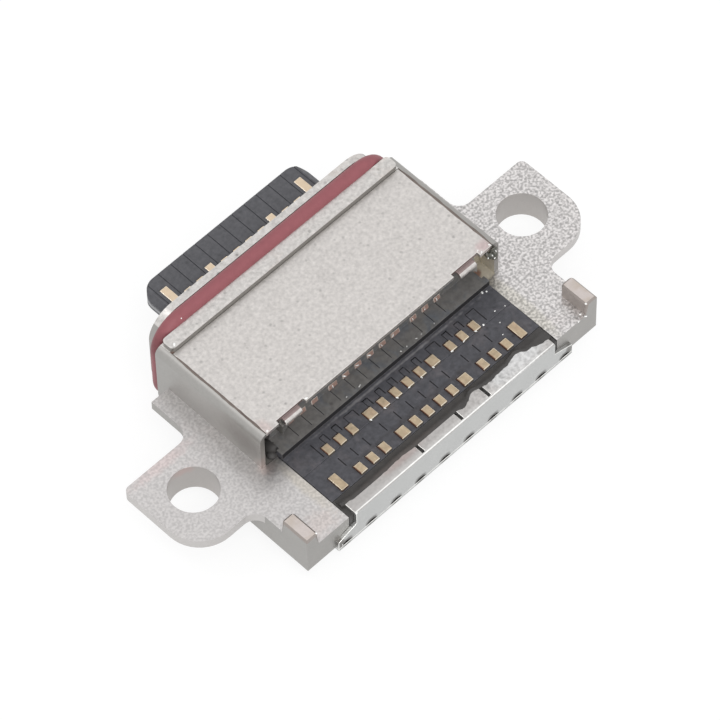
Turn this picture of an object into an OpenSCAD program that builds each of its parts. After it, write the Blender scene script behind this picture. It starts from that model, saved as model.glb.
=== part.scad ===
// Sealed usb-c board socket with two screw ears, a seal ring and a free tongue.
// X runs across the socket, -Y points out of the mouth, +Z away from the rest face.
// The origin is midway between the two ear screws, on the face that seats on the board.

/* [Ears] */
// Distance between the two ear screws
screw_spacing = 13.5; // [13.2:0.1:14.5]
// Diameter of each screw hole
screw_hole_d = 1.56; // [1.2:0.02:1.7]
// Outer diameter of the collar under each screw hole
screw_collar_d = 2.1; // [2:0.05:2.4]
// Depth of the screw hole with its collar
screw_hole_depth = 1.1; // [0.8:0.05:1.2]
// Thickness of the ears and side strips
ear_t = 0.35; // [0.25:0.05:0.5]
// How far an ear reaches outward past its screw centre
ear_reach = 1.45; // [1.2:0.05:2]
// How far an ear reaches forward of its screw centre
ear_front = 1.42; // [1.2:0.02:1.5]
// How far an ear reaches behind its screw centre
ear_rear = 1.72; // [1.4:0.02:1.8]
// Radius of the big outer corner of an ear
ear_corner_r = 1.2; // [0.8:0.05:1.3]
// Radius of the hollow between an ear and its arm
ear_hollow_r = 0.45; // [0.3:0.05:0.5]
// Outer half width of the strips beside the body
strip_half_w = 5.54; // [5.4:0.02:5.7]

/* [Arms and pegs] */
// Half distance between the inner faces of the two arms
arm_inner_half = 4.28; // [4.25:0.01:4.4]
// Half distance between the outer faces of the two arms
arm_outer_half = 5.95; // [5.85:0.05:6.2]
// Rear end of the arms
arm_rear_y = 3.84; // [3.6:0.05:4.4]
// Thickness of the arms
arm_t = 1; // [0.9:0.05:1.1]
// Width of each locating peg
peg_w = 0.46; // [0.4:0.02:0.6]
// Length of each locating peg
peg_l = 1.04; // [0.8:0.02:1.3]
// Height of each locating peg above the seat face
peg_h = 0.54; // [0.4:0.02:0.8]
// Bevel round the top of each peg
peg_bevel = 0.06; // [0.04:0.01:0.1]

/* [Body and mouth] */
// Height of the plug axis above the seat face
plug_z = 0.1; // [0.05:0.01:0.15]
// Width of the mouth
mouth_w = 8.34; // [8.3:0.01:8.4]
// Height of the mouth
mouth_h = 2.56; // [2.5:0.01:2.6]
// Half width of the body behind the seal
body_half_w = 4.87; // [4.8:0.01:5]
// Radius of the body's upper shoulders
shoulder_r = 0.27; // [0.2:0.01:0.3]
// Thickness of the body's floor
floor_t = 0.3; // [0.2:0.05:0.4]
// Radius of the body's lower edges
keel_r = 0.7; // [0.5:0.05:0.8]
// Front face of the nose
nose_front_y = -4.2; // [-4.6:0.05:-4.1]
// Front edge of the cover, where the raised lip ends
cover_front_y = -3.03; // [-3.06:0.01:-2.9]
// Rear end of the body and cover
cover_rear_y = 0.86; // [0.8:0.02:1]
// How deep a plug's shell can enter, measured to the back wall of the mouth
back_wall_y = -0.55; // [-0.8:0.05:-0.4]
// Wall left outside the pockets in the body's rear corners
skin_t = 0.17; // [0.14:0.01:0.22]
// Length of the pockets in the body's rear corners
pocket_l = 0.66; // [0.4:0.02:0.8]
// Drop from the seat face to the floor of those pockets
pocket_sink = 0.03; // [0.02:0.01:0.06]

/* [Seal ring and nose] */
// Thickness of the rim in front of the seal
rim_t = 0.24; // [0.2:0.02:0.3]
// How far the rim stands proud of the groove floor, above and below
rim_h = 0.22; // [0.15:0.01:0.3]
// How far the rim stands proud of the groove floor, at the sides
rim_side_h = 0.05; // [0.02:0.01:0.1]
// Corner radius of the rim
rim_r = 0.95; // [0.8:0.05:1.1]
// Metal between the mouth and the groove floor, above and below the mouth
groove_wall = 0.22; // [0.18:0.02:0.3]
// Metal between the mouth and the groove floor, beside the mouth
groove_side_wall = 0.25; // [0.2:0.01:0.3]
// Corner radius of the groove floor
groove_r = 0.75; // [0.5:0.05:0.9]
// Width of the seal along the socket
seal_w = 0.46; // [0.4:0.02:0.5]
// How far the seal stands proud of the groove floor
seal_h = 0.36; // [0.3:0.02:0.42]
// Height of the raised lip above the cover
lip_h = 0.2; // [0.1:0.02:0.3]
// Corner radius of the raised lip's ends
lip_r = 0.14; // [0.08:0.02:0.2]

/* [Cover] */
// Thickness of the cover sheet
cover_t = 0.15; // [0.12:0.01:0.2]
// Half width of the cover
cover_half_w = 4.6; // [4.5:0.01:4.6]
// Distance from the middle to the middle of each rear notch
notch_x = 3.56; // [3.4:0.02:3.7]
// Width of each rear notch
notch_w = 1.08; // [1:0.02:1.2]
// Depth of each rear notch
notch_depth = 0.13; // [0.1:0.01:0.2]
// Width of the tab that folds down in each notch
tab_w = 0.66; // [0.5:0.02:0.8]
// Thickness of the folded tabs, which are pressed thinner than the cover
tab_t = 0.1; // [0.08:0.01:0.12]
// How far the tabs are set down below the cover's underside
tab_joggle = 0.05; // [0.03:0.01:0.06]
// Flat length of each tab before its bend
tab_flat = 0.08; // [0.06:0.01:0.12]
// Inside bend radius of the folded tabs
tab_bend_r = 0.03; // [0.02:0.01:0.05]
// Length of each folded tab below its bend
tab_drop = 0.05; // [0.02:0.01:0.2]

/* [Tongue] */
// Front end of the tongue
tongue_tip_y = -5.92; // [-6.2:0.02:-5.8]
// Width of the tongue
tongue_w = 6.54; // [6.5:0.02:6.6]
// Thickness of the tongue
tongue_t = 0.7; // [0.66:0.01:0.74]
// Radius of the tongue's front corners seen from above
tongue_corner_r = 0.55; // [0.4:0.05:0.7]
// Bevel along the long edges of the tongue
tongue_bevel = 0.2; // [0.1:0.02:0.24]
// Where the thicker root of the tongue starts
root_y = -1.42; // [-1.6:0.02:-1.3]
// Thickness of the root
root_t = 1.5; // [1.3:0.05:1.7]
// Width of the root
root_w = 6.9; // [6.7:0.05:7.2]

/* [Contacts] */
// Spacing of the contacts on the tongue
contact_pitch = 0.5; // [0.45:0.01:0.5]
// Width of a contact on the tongue
contact_w = 0.28; // [0.2:0.01:0.3]
// Thickness of the contact strip
contact_t = 0.12; // [0.1:0.01:0.14]
// Tip setback of the outermost ground contacts from the tongue tip
ground_setback = 0.47; // [0.4:0.01:0.6]
// Tip setback of the supply contacts from the tongue tip
supply_setback = 0.8; // [0.7:0.01:0.9]
// Tip setback of the signal contacts from the tongue tip
signal_setback = 0.97; // [0.9:0.01:1.3]
// Width of an ordinary solder tail
tail_w = 0.27; // [0.2:0.01:0.3]
// Width of the wider supply tails
supply_tail_w = 0.36; // [0.3:0.01:0.4]
// Sideways shift of the first tail row, and of the second the other way
tail_stagger = 0.11; // [0.08:0.01:0.12]
// Sideways shift of the upper contacts where they leave the block, on top of their tail's place
exit_shift = 0.19; // [0:0.01:0.2]
// Rear end of the first row of tails
row1_end_y = 1.98; // [1.9:0.01:2.1]
// Rear end of the second row of tails
row2_end_y = 3.1; // [2.98:0.01:3.15]
// Visible length of the tails
tail_l = 0.32; // [0.25:0.01:0.4]
// How far the tails stand above the seat face
tail_z = 0.1; // [0.06:0.01:0.12]

/* [Mid plate and earth plates] */
// Thickness of the steel plate inside the tongue
mid_plate_t = 0.15; // [0.12:0.01:0.18]
// Distance from the tongue tip to the middle of the latch notches
latch_setback = 1.9; // [1.7:0.05:2]
// Length of each latch notch
latch_l = 0.9; // [0.7:0.05:1]
// Depth of each latch notch
latch_depth = 0.42; // [0.3:0.02:0.5]
// Distance from the middle to each earth tail of the mid plate
earth_tail_x = 3.68; // [3.6:0.01:3.75]
// Length of each earth tail
earth_tail_l = 0.54; // [0.4:0.02:0.6]
// Thickness of the earth plates on the tongue's root
earth_plate_t = 0.1; // [0.08:0.01:0.12]

/* [Housing, rear shield and resin] */
// Height of the raised step behind the cover above the seat face
step_z = 0.27; // [0.24:0.01:0.3]
// Rear edge of the raised step
step_y = 1.1; // [1.06:0.01:1.15]
// Rear wall of the housing under the cover
block_rear_y = 0.45; // [0.4:0.01:0.5]
// Gap between the housing and the arms
housing_gap = 0.02; // [0.01:0.01:0.03]
// Drop from the tails' top face to the moulding beside them
tail_reveal = 0.05; // [0.03:0.01:0.06]
// Thickness of the rear and bottom shields
shield_t = 0.12; // [0.1:0.01:0.14]
// Half width of the rear shield at its top
shield_half_w = 4.09; // [4:0.01:4.15]
// Half width of the rear shield's wings
wing_half_w = 4.82; // [4.7:0.02:5]
// Height of the rear shield's top face above the seat face
shield_top_z = 0.1; // [0.08:0.01:0.14]
// Length of the rear shield's top flange
flange_l = 0.5; // [0.4:0.02:0.6]
// Spacing of the scallops along the rear shield's lower edge
scallop_pitch = 1; // [0.9:0.05:1.05]
// Radius of each scallop
scallop_r = 0.32; // [0.2:0.02:0.36]
// Depth of each scallop
scallop_depth = 0.12; // [0.08:0.01:0.16]
// Width of the slots in the top flange
slot_w = 0.1; // [0.08:0.01:0.14]
// Drop from the tails' top face to the resin behind them
resin_drop = 0.1; // [0.06:0.01:0.11]

/* [Hidden] */
COUNT = 12;
UPPER_NODES = [for (i = [1 : COUNT]) str("upper_contact_", i)];
LOWER_NODES = [for (i = [1 : COUNT]) str("lower_contact_", i)];
$fn = 64;

// Small overrun that keeps cuts from ending flush with a face
eps = 0.05;

steel = [0.78, 0.77, 0.75];
sheet_steel = [0.72, 0.72, 0.71];
gold = [0.84, 0.76, 0.6];
plastic = [0.3, 0.3, 0.32];
resin = [0.22, 0.22, 0.22];
silicone = [0.6, 0.32, 0.36];

// Body levels
mouth_top_z = plug_z + mouth_h / 2;
cover_top_z = mouth_top_z + cover_t;
body_bottom_z = plug_z - mouth_h / 2 - floor_t;
shoulder_cut_x = cover_half_w + 0.02;
roof_half_w = mouth_w / 2 - mouth_h / 2 + 0.5;

// Groove and seal, given as half sizes round the plug axis
groove_half_w = mouth_w / 2 + groove_side_wall;
groove_half_h = mouth_h / 2 + groove_wall;
groove_front_y = nose_front_y + rim_t;
groove_rear_y = groove_front_y + seal_w;
lip_top_z = cover_top_z + lip_h;

// Tongue levels
tongue_top_z = plug_z + tongue_t / 2;
tongue_bottom_z = plug_z - tongue_t / 2;

// Tails fan out from the contact pitch to these distances from the middle
tail_x = [0.25, 0.75, 1.28, 2.02, 2.51, 3];
moulding_z = tail_z - tail_reveal;
tail_block_rear_y = row2_end_y + 0.04;

// Heights of the contacts where they run hidden under the tails
upper_run_z = -0.2;
lower_run_z = -arm_t / 2;

// Distances from the middle to the slots in the rear shield's flange
slot_x = [-1.48, -0.35, 1.24];

// Contact numbers run from +X to -X; 1 and 12 are ground, 4 and 9 supply
function side(i) = i <= COUNT / 2 ? 1 : -1;
function rank(i) = i <= COUNT / 2 ? COUNT / 2 - i : i - COUNT / 2 - 1;
function contact_x(i) = side(i) * (rank(i) + 0.5) * contact_pitch;
function tail_centre_x(i, shift) = side(i) * tail_x[rank(i)] + shift;
function is_supply(i) = i == 4 || i == 9;
function is_ground(i) = i == 1 || i == COUNT;
function setback(i) =
    is_ground(i) ? ground_setback : is_supply(i) ? supply_setback : signal_setback;
function tail_width(i) = is_supply(i) ? supply_tail_w : tail_w;

// A point moved by half the thickness to one side of a bent centre line
function unit(v) = v / norm(v);
function left_of(v) = [-v[1], v[0]];
function mitre(p, k) =
    let (a = unit(p[k] - p[max(k - 1, 0)] + (k == 0 ? p[1] - p[0] : [0, 0])))
    let (b = unit(k < len(p) - 1 ? p[k + 1] - p[k] : p[k] - p[k - 1]))
    let (n = unit(left_of(a) + left_of(b)))
    n / (n * left_of(a));
function bent_strip(p, t) = concat(
    [for (k = [0 : len(p) - 1]) p[k] + mitre(p, k) * t / 2],
    [for (k = [len(p) - 1 : -1 : 0]) p[k] - mitre(p, k) * t / 2]
);

// Extrudes a shape drawn in X and Z along Y
module along_y(y0, y1) {
    translate([0, y1, 0])
        rotate([90, 0, 0])
            linear_extrude(y1 - y0)
                children();
}

// Extrudes a shape drawn in Y and Z along X
module along_x(x0, x1) {
    translate([x0, 0, 0])
        rotate([90, 0, 90])
            linear_extrude(x1 - x0)
                children();
}

// Both halves of a mirrored pair
module both_sides() {
    children();
    mirror([1, 0, 0])
        children();
}

// Rounded rectangle about the origin, given by its half sizes
module round_rect(half_w, half_h, r) {
    for (sx = [-1, 1], sy = [-1, 1])
        translate([sx * (half_w - r), sy * (half_h - r)])
            circle(r);
    square([2 * (half_w - r), 2 * half_h], center = true);
    square([2 * half_w, 2 * (half_h - r)], center = true);
}

// Rounded rectangle round the plug axis
module plug_outline(half_w, half_h, r) {
    translate([0, plug_z])
        round_rect(half_w, half_h, r);
}

// The mouth's cross section, round at both ends
module mouth_section() {
    straight = mouth_w - mouth_h;
    translate([0, plug_z]) {
        for (s = [-1, 1])
            translate([s * straight / 2, 0])
                circle(d = mouth_h);
        square([straight, mouth_h], center = true);
    }
}

// The body's cross section: round shoulders, round keel and a seat for the cover
module body_section() {
    half_h = (cover_top_z - body_bottom_z) / 2;
    mid_z = (cover_top_z + body_bottom_z) / 2;
    for (s = [-1, 1]) {
        translate([s * (body_half_w - shoulder_r), cover_top_z - shoulder_r])
            circle(shoulder_r);
        translate([s * (body_half_w - keel_r), body_bottom_z + keel_r])
            circle(keel_r);
    }
    translate([0, mid_z])
        square([2 * (body_half_w - keel_r), 2 * half_h], center = true);
    translate([-body_half_w, body_bottom_z + keel_r])
        square([2 * body_half_w, 2 * half_h - keel_r - shoulder_r]);
    translate([-body_half_w + shoulder_r, mid_z])
        square([2 * (body_half_w - shoulder_r), half_h]);
}

// Plan outline of one ear with its side strip and arm, on the +X side
module ear_plan() {
    screw_x = screw_spacing / 2;
    outer_x = screw_x + ear_reach;
    front_r = 0.2;
    hollow_x = arm_outer_half + ear_hollow_r;
    difference() {
        union() {
            translate([arm_inner_half, -ear_front])
                square([outer_x - ear_corner_r - arm_inner_half, ear_front + ear_rear]);
            translate([outer_x - ear_corner_r - eps, -ear_front + front_r])
                square([ear_corner_r + eps, ear_front + ear_rear - ear_corner_r - front_r]);
            translate([outer_x - ear_corner_r - eps, -ear_front])
                square([ear_corner_r + eps - front_r, front_r + eps]);
            translate([outer_x - front_r, -ear_front + front_r])
                circle(front_r);
            translate([outer_x - ear_corner_r, ear_rear - ear_corner_r])
                circle(ear_corner_r);
            translate([arm_inner_half, cover_front_y])
                square([strip_half_w - arm_inner_half, -cover_front_y]);
            translate([arm_outer_half - eps, ear_rear - eps])
                square([ear_hollow_r + eps, ear_hollow_r + eps]);
            translate([strip_half_w - eps, -ear_front - ear_hollow_r])
                square([ear_hollow_r + eps, ear_hollow_r + eps]);
        }
        translate([hollow_x, ear_rear + ear_hollow_r])
            circle(ear_hollow_r);
        translate([strip_half_w + ear_hollow_r, -ear_front - ear_hollow_r])
            circle(ear_hollow_r);
    }
}

// One arm in plan, on the +X side
module arm_plan() {
    translate([arm_inner_half, -ear_front])
        square([arm_outer_half - arm_inner_half, ear_front + arm_rear_y]);
}

// One locating peg, flush with the arm's outer and rear faces and bevelled on top
module peg() {
    x0 = arm_outer_half - peg_w;
    y0 = arm_rear_y - peg_l;
    b = peg_bevel;
    translate([x0, y0, -arm_t / 2])
        cube([peg_w, peg_l, arm_t / 2 + peg_h - b]);
    intersection() {
        along_y(y0, arm_rear_y)
            polygon([
                [x0, 0],
                [x0, peg_h - b],
                [x0 + b, peg_h],
                [x0 + peg_w - b, peg_h],
                [x0 + peg_w, peg_h - b],
                [x0 + peg_w, 0]
            ]);
        along_x(x0, x0 + peg_w)
            polygon([
                [y0, 0],
                [y0, peg_h - b],
                [y0 + b, peg_h],
                [arm_rear_y - b, peg_h],
                [arm_rear_y, peg_h - b],
                [arm_rear_y, 0]
            ]);
    }
}

// Moulded metal body: nose, groove, lip, floor, side walls, ears, arms and pegs
module bracket() {
    color(steel)
        difference() {
            union() {
                along_y(nose_front_y, groove_front_y)
                    plug_outline(groove_half_w + rim_side_h, groove_half_h + rim_h, rim_r);
                along_y(nose_front_y, cover_front_y)
                    plug_outline(groove_half_w, groove_half_h, groove_r);
                along_y(groove_rear_y, cover_rear_y)
                    body_section();
                lip();
                both_sides() {
                    translate([0, 0, -ear_t])
                        linear_extrude(ear_t)
                            ear_plan();
                    translate([0, 0, -arm_t])
                        linear_extrude(arm_t)
                            arm_plan();
                    translate([screw_spacing / 2, 0, -screw_hole_depth])
                        cylinder(d = screw_collar_d, h = screw_hole_depth);
                    peg();
                }
            }
            along_y(nose_front_y - eps, cover_rear_y + eps)
                mouth_section();
            cover_seat();
            roof_window();
            both_sides() {
                tab_pocket();
                corner_pocket();
                translate([screw_spacing / 2, 0, -screw_hole_depth - eps])
                    cylinder(d = screw_hole_d, h = screw_hole_depth + 2 * eps);
            }
        }
}

// Raised lip in front of the cover
module lip() {
    half_l = (cover_front_y - groove_rear_y) / 2;
    translate([0, groove_rear_y + half_l, mouth_top_z])
        linear_extrude(lip_top_z - mouth_top_z)
            round_rect(cover_half_w, half_l, lip_r);
}

// Step that the cover drops into
module cover_seat() {
    translate([-shoulder_cut_x, cover_front_y, mouth_top_z])
        cube([2 * shoulder_cut_x, cover_rear_y - cover_front_y + eps, cover_t + eps]);
}

// Opening in the body's roof, closed by the cover
module roof_window() {
    translate([-roof_half_w, cover_front_y, plug_z])
        cube([2 * roof_half_w, cover_rear_y - cover_front_y + eps, mouth_h]);
}

// Recess in the body's rear face for a folded tab of the cover, on the +X side
module tab_pocket() {
    depth = tab_joggle + tab_bend_r + tab_drop + 0.04;
    translate([notch_x - notch_w / 2, cover_rear_y - notch_depth, mouth_top_z - depth])
        cube([notch_w, notch_depth + eps, depth + eps]);
}

// Pocket in the body's rear corner, over the arm and under the cover, on the +X side
module corner_pocket() {
    inner_x = arm_inner_half - 0.3;
    translate([inner_x, cover_rear_y - pocket_l, -pocket_sink])
        cube([body_half_w - skin_t - inner_x, pocket_l + eps, mouth_top_z + pocket_sink]);
}

// Seal cross section, flat inside and crowned outside, with its base at the origin
module seal_section() {
    r = seal_w / 2;
    crown = seal_h - r;
    translate([0, -r])
        square([crown, seal_w]);
    intersection() {
        translate([crown, 0])
            circle(r);
        translate([0, -r])
            square([seal_h, seal_w]);
    }
}

// One corner of the seal, in the XZ plane round the plug axis
module seal_corner(x, z, turn) {
    translate([x, 0, z])
        rotate([0, -turn, 0])
            rotate([90, 0, 0])
                rotate_extrude(angle = 90)
                    translate([groove_r, 0])
                        seal_section();
}

// Rubber ring in the groove of the nose
module seal_ring() {
    mid_y = (groove_front_y + groove_rear_y) / 2;
    x = groove_half_w - groove_r;
    z = groove_half_h - groove_r;
    color(silicone)
        translate([0, mid_y, plug_z]) {
            seal_corner(x, z, 0);
            seal_corner(-x, z, 90);
            seal_corner(-x, -z, 180);
            seal_corner(x, -z, 270);
            for (s = [0, 180])
                rotate([0, s, 0]) {
                    translate([-x, 0, groove_half_h])
                        rotate([90, 0, 90])
                            linear_extrude(2 * x)
                                rotate(90)
                                    seal_section();
                    translate([groove_half_w, 0, -z])
                        linear_extrude(2 * z)
                            seal_section();
                }
        }
}

// One folded tab of the cover, set down and bent over, on the +X side
module cover_tab() {
    r = tab_bend_r;
    y0 = cover_rear_y - notch_depth;
    low_z = mouth_top_z - tab_joggle;
    along_x(notch_x - tab_w / 2, notch_x + tab_w / 2) {
        translate([y0 - eps, mouth_top_z])
            square([2 * eps, tab_t - tab_joggle]);
        translate([y0, low_z])
            square([tab_flat, tab_t]);
        translate([y0 + tab_flat, low_z - r])
            intersection() {
                difference() {
                    circle(r + tab_t);
                    circle(r);
                }
                square(r + tab_t);
            }
        translate([y0 + tab_flat + r, low_z - r - tab_drop])
            square([tab_t, tab_drop]);
    }
}

// Sheet cover welded over the roof opening
module cover() {
    color(steel) {
        difference() {
            translate([-cover_half_w, cover_front_y, mouth_top_z])
                cube([2 * cover_half_w, cover_rear_y - cover_front_y, cover_t]);
            both_sides()
                translate([notch_x - notch_w / 2, cover_rear_y - notch_depth, mouth_top_z - eps])
                    cube([notch_w, notch_depth + eps, cover_t + 2 * eps]);
        }
        both_sides()
            cover_tab();
    }
}

// Rear shield in outline: a wall with wings and a scalloped lower edge
module shield_wall_section() {
    bottom = -arm_t;
    wing_z = -0.42;
    difference() {
        polygon([
            [-shield_half_w, shield_top_z],
            [-shield_half_w, wing_z],
            [-wing_half_w, wing_z - 0.25],
            [-wing_half_w, bottom],
            [wing_half_w, bottom],
            [wing_half_w, wing_z - 0.25],
            [shield_half_w, wing_z],
            [shield_half_w, shield_top_z]
        ]);
        for (k = [-4.5 : 1 : 4.5])
            translate([k * scallop_pitch, bottom - scallop_r + scallop_depth])
                circle(scallop_r);
    }
}

// Rear shield: wall behind the arms and a flange folded forward over the housing
module rear_shield() {
    wall_y = arm_rear_y;
    outer_y = wall_y + shield_t;
    fold_r = shield_t * 0.8;
    color(sheet_steel)
        difference() {
            union() {
                intersection() {
                    along_y(wall_y, outer_y)
                        shield_wall_section();
                    translate([-wing_half_w, wall_y, -arm_t])
                        cube([2 * wing_half_w, shield_t, arm_t + shield_top_z - fold_r]);
                }
                along_x(-shield_half_w, shield_half_w) {
                    translate([outer_y - fold_r, shield_top_z - fold_r])
                        intersection() {
                            circle(fold_r);
                            square(fold_r);
                        }
                    translate([wall_y, shield_top_z - shield_t])
                        square([shield_t - fold_r, shield_t]);
                    translate([wall_y, shield_top_z - shield_t])
                        square([shield_t, shield_t - fold_r]);
                    translate([outer_y - flange_l, shield_top_z - shield_t])
                        square([flange_l - shield_t, shield_t]);
                }
            }
            for (x = slot_x)
                translate([x - slot_w / 2, outer_y - flange_l - eps, shield_top_z - shield_t - eps])
                    cube([slot_w, flange_l - shield_t + eps, shield_t + 2 * eps]);
        }
}

// Bottom shield: sheet welded under the two arms
module bottom_shield() {
    color(sheet_steel)
        translate([-wing_half_w, cover_rear_y + eps, -arm_t - shield_t])
            cube([2 * wing_half_w, arm_rear_y + shield_t - cover_rear_y - eps, shield_t]);
}

// Plan of the tongue with round front corners, back to a given depth
module tongue_plan(y_end, half_w) {
    r = tongue_corner_r;
    for (s = [-1, 1])
        translate([s * (half_w - r), tongue_tip_y + r])
            circle(r);
    translate([-half_w + r, tongue_tip_y])
        square([2 * (half_w - r), r + eps]);
    translate([-half_w, tongue_tip_y + r])
        square([2 * half_w, y_end - tongue_tip_y - r]);
}

// Cross section of the tongue with bevelled long edges
module tongue_section() {
    h = tongue_w / 2;
    b = tongue_bevel;
    polygon([
        [-h, tongue_bottom_z + b],
        [-h, tongue_top_z - b],
        [-h + b, tongue_top_z],
        [h - b, tongue_top_z],
        [h, tongue_top_z - b],
        [h, tongue_bottom_z + b],
        [h - b, tongue_bottom_z],
        [-h + b, tongue_bottom_z]
    ]);
}

// Cut-outs in both sides of the tongue for the latches of a plug
module latch_notches() {
    half_w = tongue_w / 2;
    both_sides()
        translate([half_w - latch_depth, tongue_tip_y + latch_setback - latch_l / 2, -root_t / 2])
            cube([latch_depth + eps, latch_l, root_t]);
}

// Tongue, its root and the block that fills the back of the mouth
module tongue_mass() {
    intersection() {
        translate([0, 0, -root_t])
            linear_extrude(2 * root_t)
                tongue_plan(back_wall_y, tongue_w / 2);
        along_y(tongue_tip_y - eps, back_wall_y)
            tongue_section();
    }
    along_y(root_y, back_wall_y)
        plug_outline(root_w / 2, root_t / 2, 0.3);
    along_y(back_wall_y, block_rear_y)
        mouth_section();
}

// Rear part of the moulding that lies open between the arms
module rear_mass(y0, y1, top) {
    half_w = arm_inner_half - housing_gap;
    translate([-half_w, y0, -arm_t])
        cube([2 * half_w, y1 - y0, arm_t + top]);
}

// The stretch of housing under the rear of the cover, inside the mouth's section
module step_mass() {
    intersection() {
        along_y(block_rear_y, cover_rear_y)
            mouth_section();
        translate([-mouth_w, block_rear_y, -mouth_h])
            cube([2 * mouth_w, cover_rear_y - block_rear_y, mouth_h + step_z]);
    }
}

// Main moulding: tongue, root, block and the rear step that holds the first tail row
module tongue_moulding() {
    color(plastic)
        difference() {
            union() {
                tongue_mass();
                step_mass();
                rear_mass(cover_rear_y, step_y, step_z);
                rear_mass(step_y, row1_end_y, moulding_z);
            }
            latch_notches();
            mid_plate_shape();
            for (i = [1 : COUNT]) {
                upper_contact_shape(i);
                lower_contact_shape(i);
            }
            earth_plate_shape(1);
            earth_plate_shape(-1);
        }
}

// Small moulding that holds the second tail row
module tail_block() {
    color(plastic)
        difference() {
            rear_mass(row1_end_y, tail_block_rear_y, moulding_z - 0.03);
            mid_plate_shape();
            for (i = [1 : COUNT])
                lower_contact_shape(i);
        }
}

// Side view of the upper contacts: along the tongue, down behind the block, under the step
// and up to the first row
function upper_path(i) = let (h = contact_t / 2) [
    [tongue_tip_y + setback(i), tongue_top_z - h],
    [block_rear_y - 0.05, tongue_top_z - h],
    [block_rear_y + 0.1, upper_run_z],
    [row1_end_y - tail_l - 0.2, upper_run_z],
    [row1_end_y - tail_l, tail_z - h],
    [row1_end_y, tail_z - h]
];

// Side view of the lower contacts: under the tongue, back and up to the second row
function lower_path(i) = let (h = contact_t / 2) [
    [tongue_tip_y + setback(i), tongue_bottom_z + h],
    [block_rear_y - 0.3, tongue_bottom_z + h],
    [block_rear_y, lower_run_z],
    [row2_end_y - tail_l - 0.35, lower_run_z],
    [row2_end_y - tail_l, tail_z - h],
    [row2_end_y, tail_z - h]
];

// Plan of one contact, as centre, place and half width along it: its beam, a jog inside
// the block to where it leaves the block, a jog under the step, and the tail
function contact_line(i, shift, exit, y_end) =
    let (x0 = contact_x(i))
    let (x1 = tail_centre_x(i, shift))
    let (w0 = contact_w / 2)
    let (w1 = tail_width(i) / 2)
    [
        [x0, tongue_tip_y + setback(i), w0],
        [x0, back_wall_y + 0.4, w0],
        [x1 + exit, back_wall_y + 0.8, w1],
        [x1 + exit, block_rear_y + 0.2, w1],
        [x1, block_rear_y + 0.6, w1],
        [x1, y_end, w1]
    ];

module contact_plan(i, shift, exit, y_end) {
    line = contact_line(i, shift, exit, y_end);
    polygon(concat(
        [for (p = line) [p[0] - p[2], p[1]]],
        [for (k = [len(line) - 1 : -1 : 0]) [line[k][0] + line[k][2], line[k][1]]]
    ));
}

module upper_contact_shape(i) {
    intersection() {
        translate([0, 0, -arm_t])
            linear_extrude(2 * arm_t)
                contact_plan(i, tail_stagger, exit_shift, row1_end_y);
        along_x(-tongue_w, tongue_w)
            polygon(bent_strip(upper_path(i), contact_t));
    }
}

module lower_contact_shape(i) {
    intersection() {
        translate([0, 0, -arm_t])
            linear_extrude(2 * arm_t)
                contact_plan(i, -tail_stagger, 0, row2_end_y);
        along_x(-tongue_w, tongue_w)
            polygon(bent_strip(lower_path(i), contact_t));
    }
}

module upper_contact(i) {
    color(gold)
        upper_contact_shape(i);
}

module lower_contact(i) {
    color(gold)
        lower_contact_shape(i);
}

// Steel plate inside the tongue, with a latch notch and an earth tail on each side
module mid_plate_shape() {
    half_w = tongue_w / 2;
    front_cover = 0.2;
    difference() {
        translate([0, 0, plug_z - mid_plate_t / 2])
            linear_extrude(mid_plate_t)
                difference() {
                    tongue_plan(block_rear_y - 0.2, half_w);
                    translate([-half_w, tongue_tip_y - eps])
                        square([2 * half_w, front_cover + eps]);
                }
        latch_notches();
    }
    both_sides()
        earth_tail();
}

// Earth tail: a strip from the mid plate back to the end of the second tail row
module earth_tail() {
    w = tail_w / 2;
    h = mid_plate_t / 2;
    z1 = tail_z - h;
    y_up = row2_end_y - earth_tail_l;
    path = [
        [back_wall_y + 0.1, plug_z],
        [block_rear_y + 0.2, plug_z],
        [block_rear_y + 0.5, lower_run_z],
        [y_up - 0.3, lower_run_z],
        [y_up, z1],
        [row2_end_y, z1]
    ];
    half_w = tongue_w / 2;
    intersection() {
        translate([0, 0, -arm_t])
            linear_extrude(2 * arm_t)
                polygon([
                    [half_w - 0.6, back_wall_y + 0.1],
                    [earth_tail_x + w, back_wall_y + 0.1],
                    [earth_tail_x + w, row2_end_y],
                    [earth_tail_x - w, row2_end_y],
                    [earth_tail_x - w, block_rear_y - 0.2],
                    [half_w - 0.6, block_rear_y - 0.2]
                ]);
        along_x(0, tongue_w)
            polygon(bent_strip(path, mid_plate_t));
    }
}

module mid_plate() {
    color(sheet_steel)
        mid_plate_shape();
}

// Earth plate on the root of the tongue: s is 1 above and -1 below
module earth_plate_shape(s) {
    z = plug_z + s * root_t / 2;
    low = s > 0 ? z - earth_plate_t : z;
    translate([-root_w / 2 + 0.5, root_y + 0.1, low])
        cube([root_w - 1, back_wall_y - root_y - 0.1, earth_plate_t]);
}

module upper_earth_plate() {
    color(sheet_steel)
        earth_plate_shape(1);
}

module lower_earth_plate() {
    color(sheet_steel)
        earth_plate_shape(-1);
}

// Resin poured between the housing and the rear shield
module potting() {
    half_w = arm_inner_half - housing_gap;
    resin_top = tail_z - resin_drop;
    flange_y = arm_rear_y + shield_t - flange_l;
    color(resin)
        difference() {
            translate([-half_w, tail_block_rear_y, -arm_t])
                cube([2 * half_w, arm_rear_y - tail_block_rear_y, arm_t + resin_top]);
            translate([-half_w - eps, flange_y, shield_top_z - shield_t])
                cube([2 * half_w + 2 * eps, flange_l, arm_t]);
        }
}

bracket();
seal_ring();
cover();
rear_shield();
bottom_shield();
tongue_moulding();
tail_block();
mid_plate();
upper_earth_plate();
lower_earth_plate();
potting();
for (i = [1 : COUNT]) {
    upper_contact(i);
    lower_contact(i);
}
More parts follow.
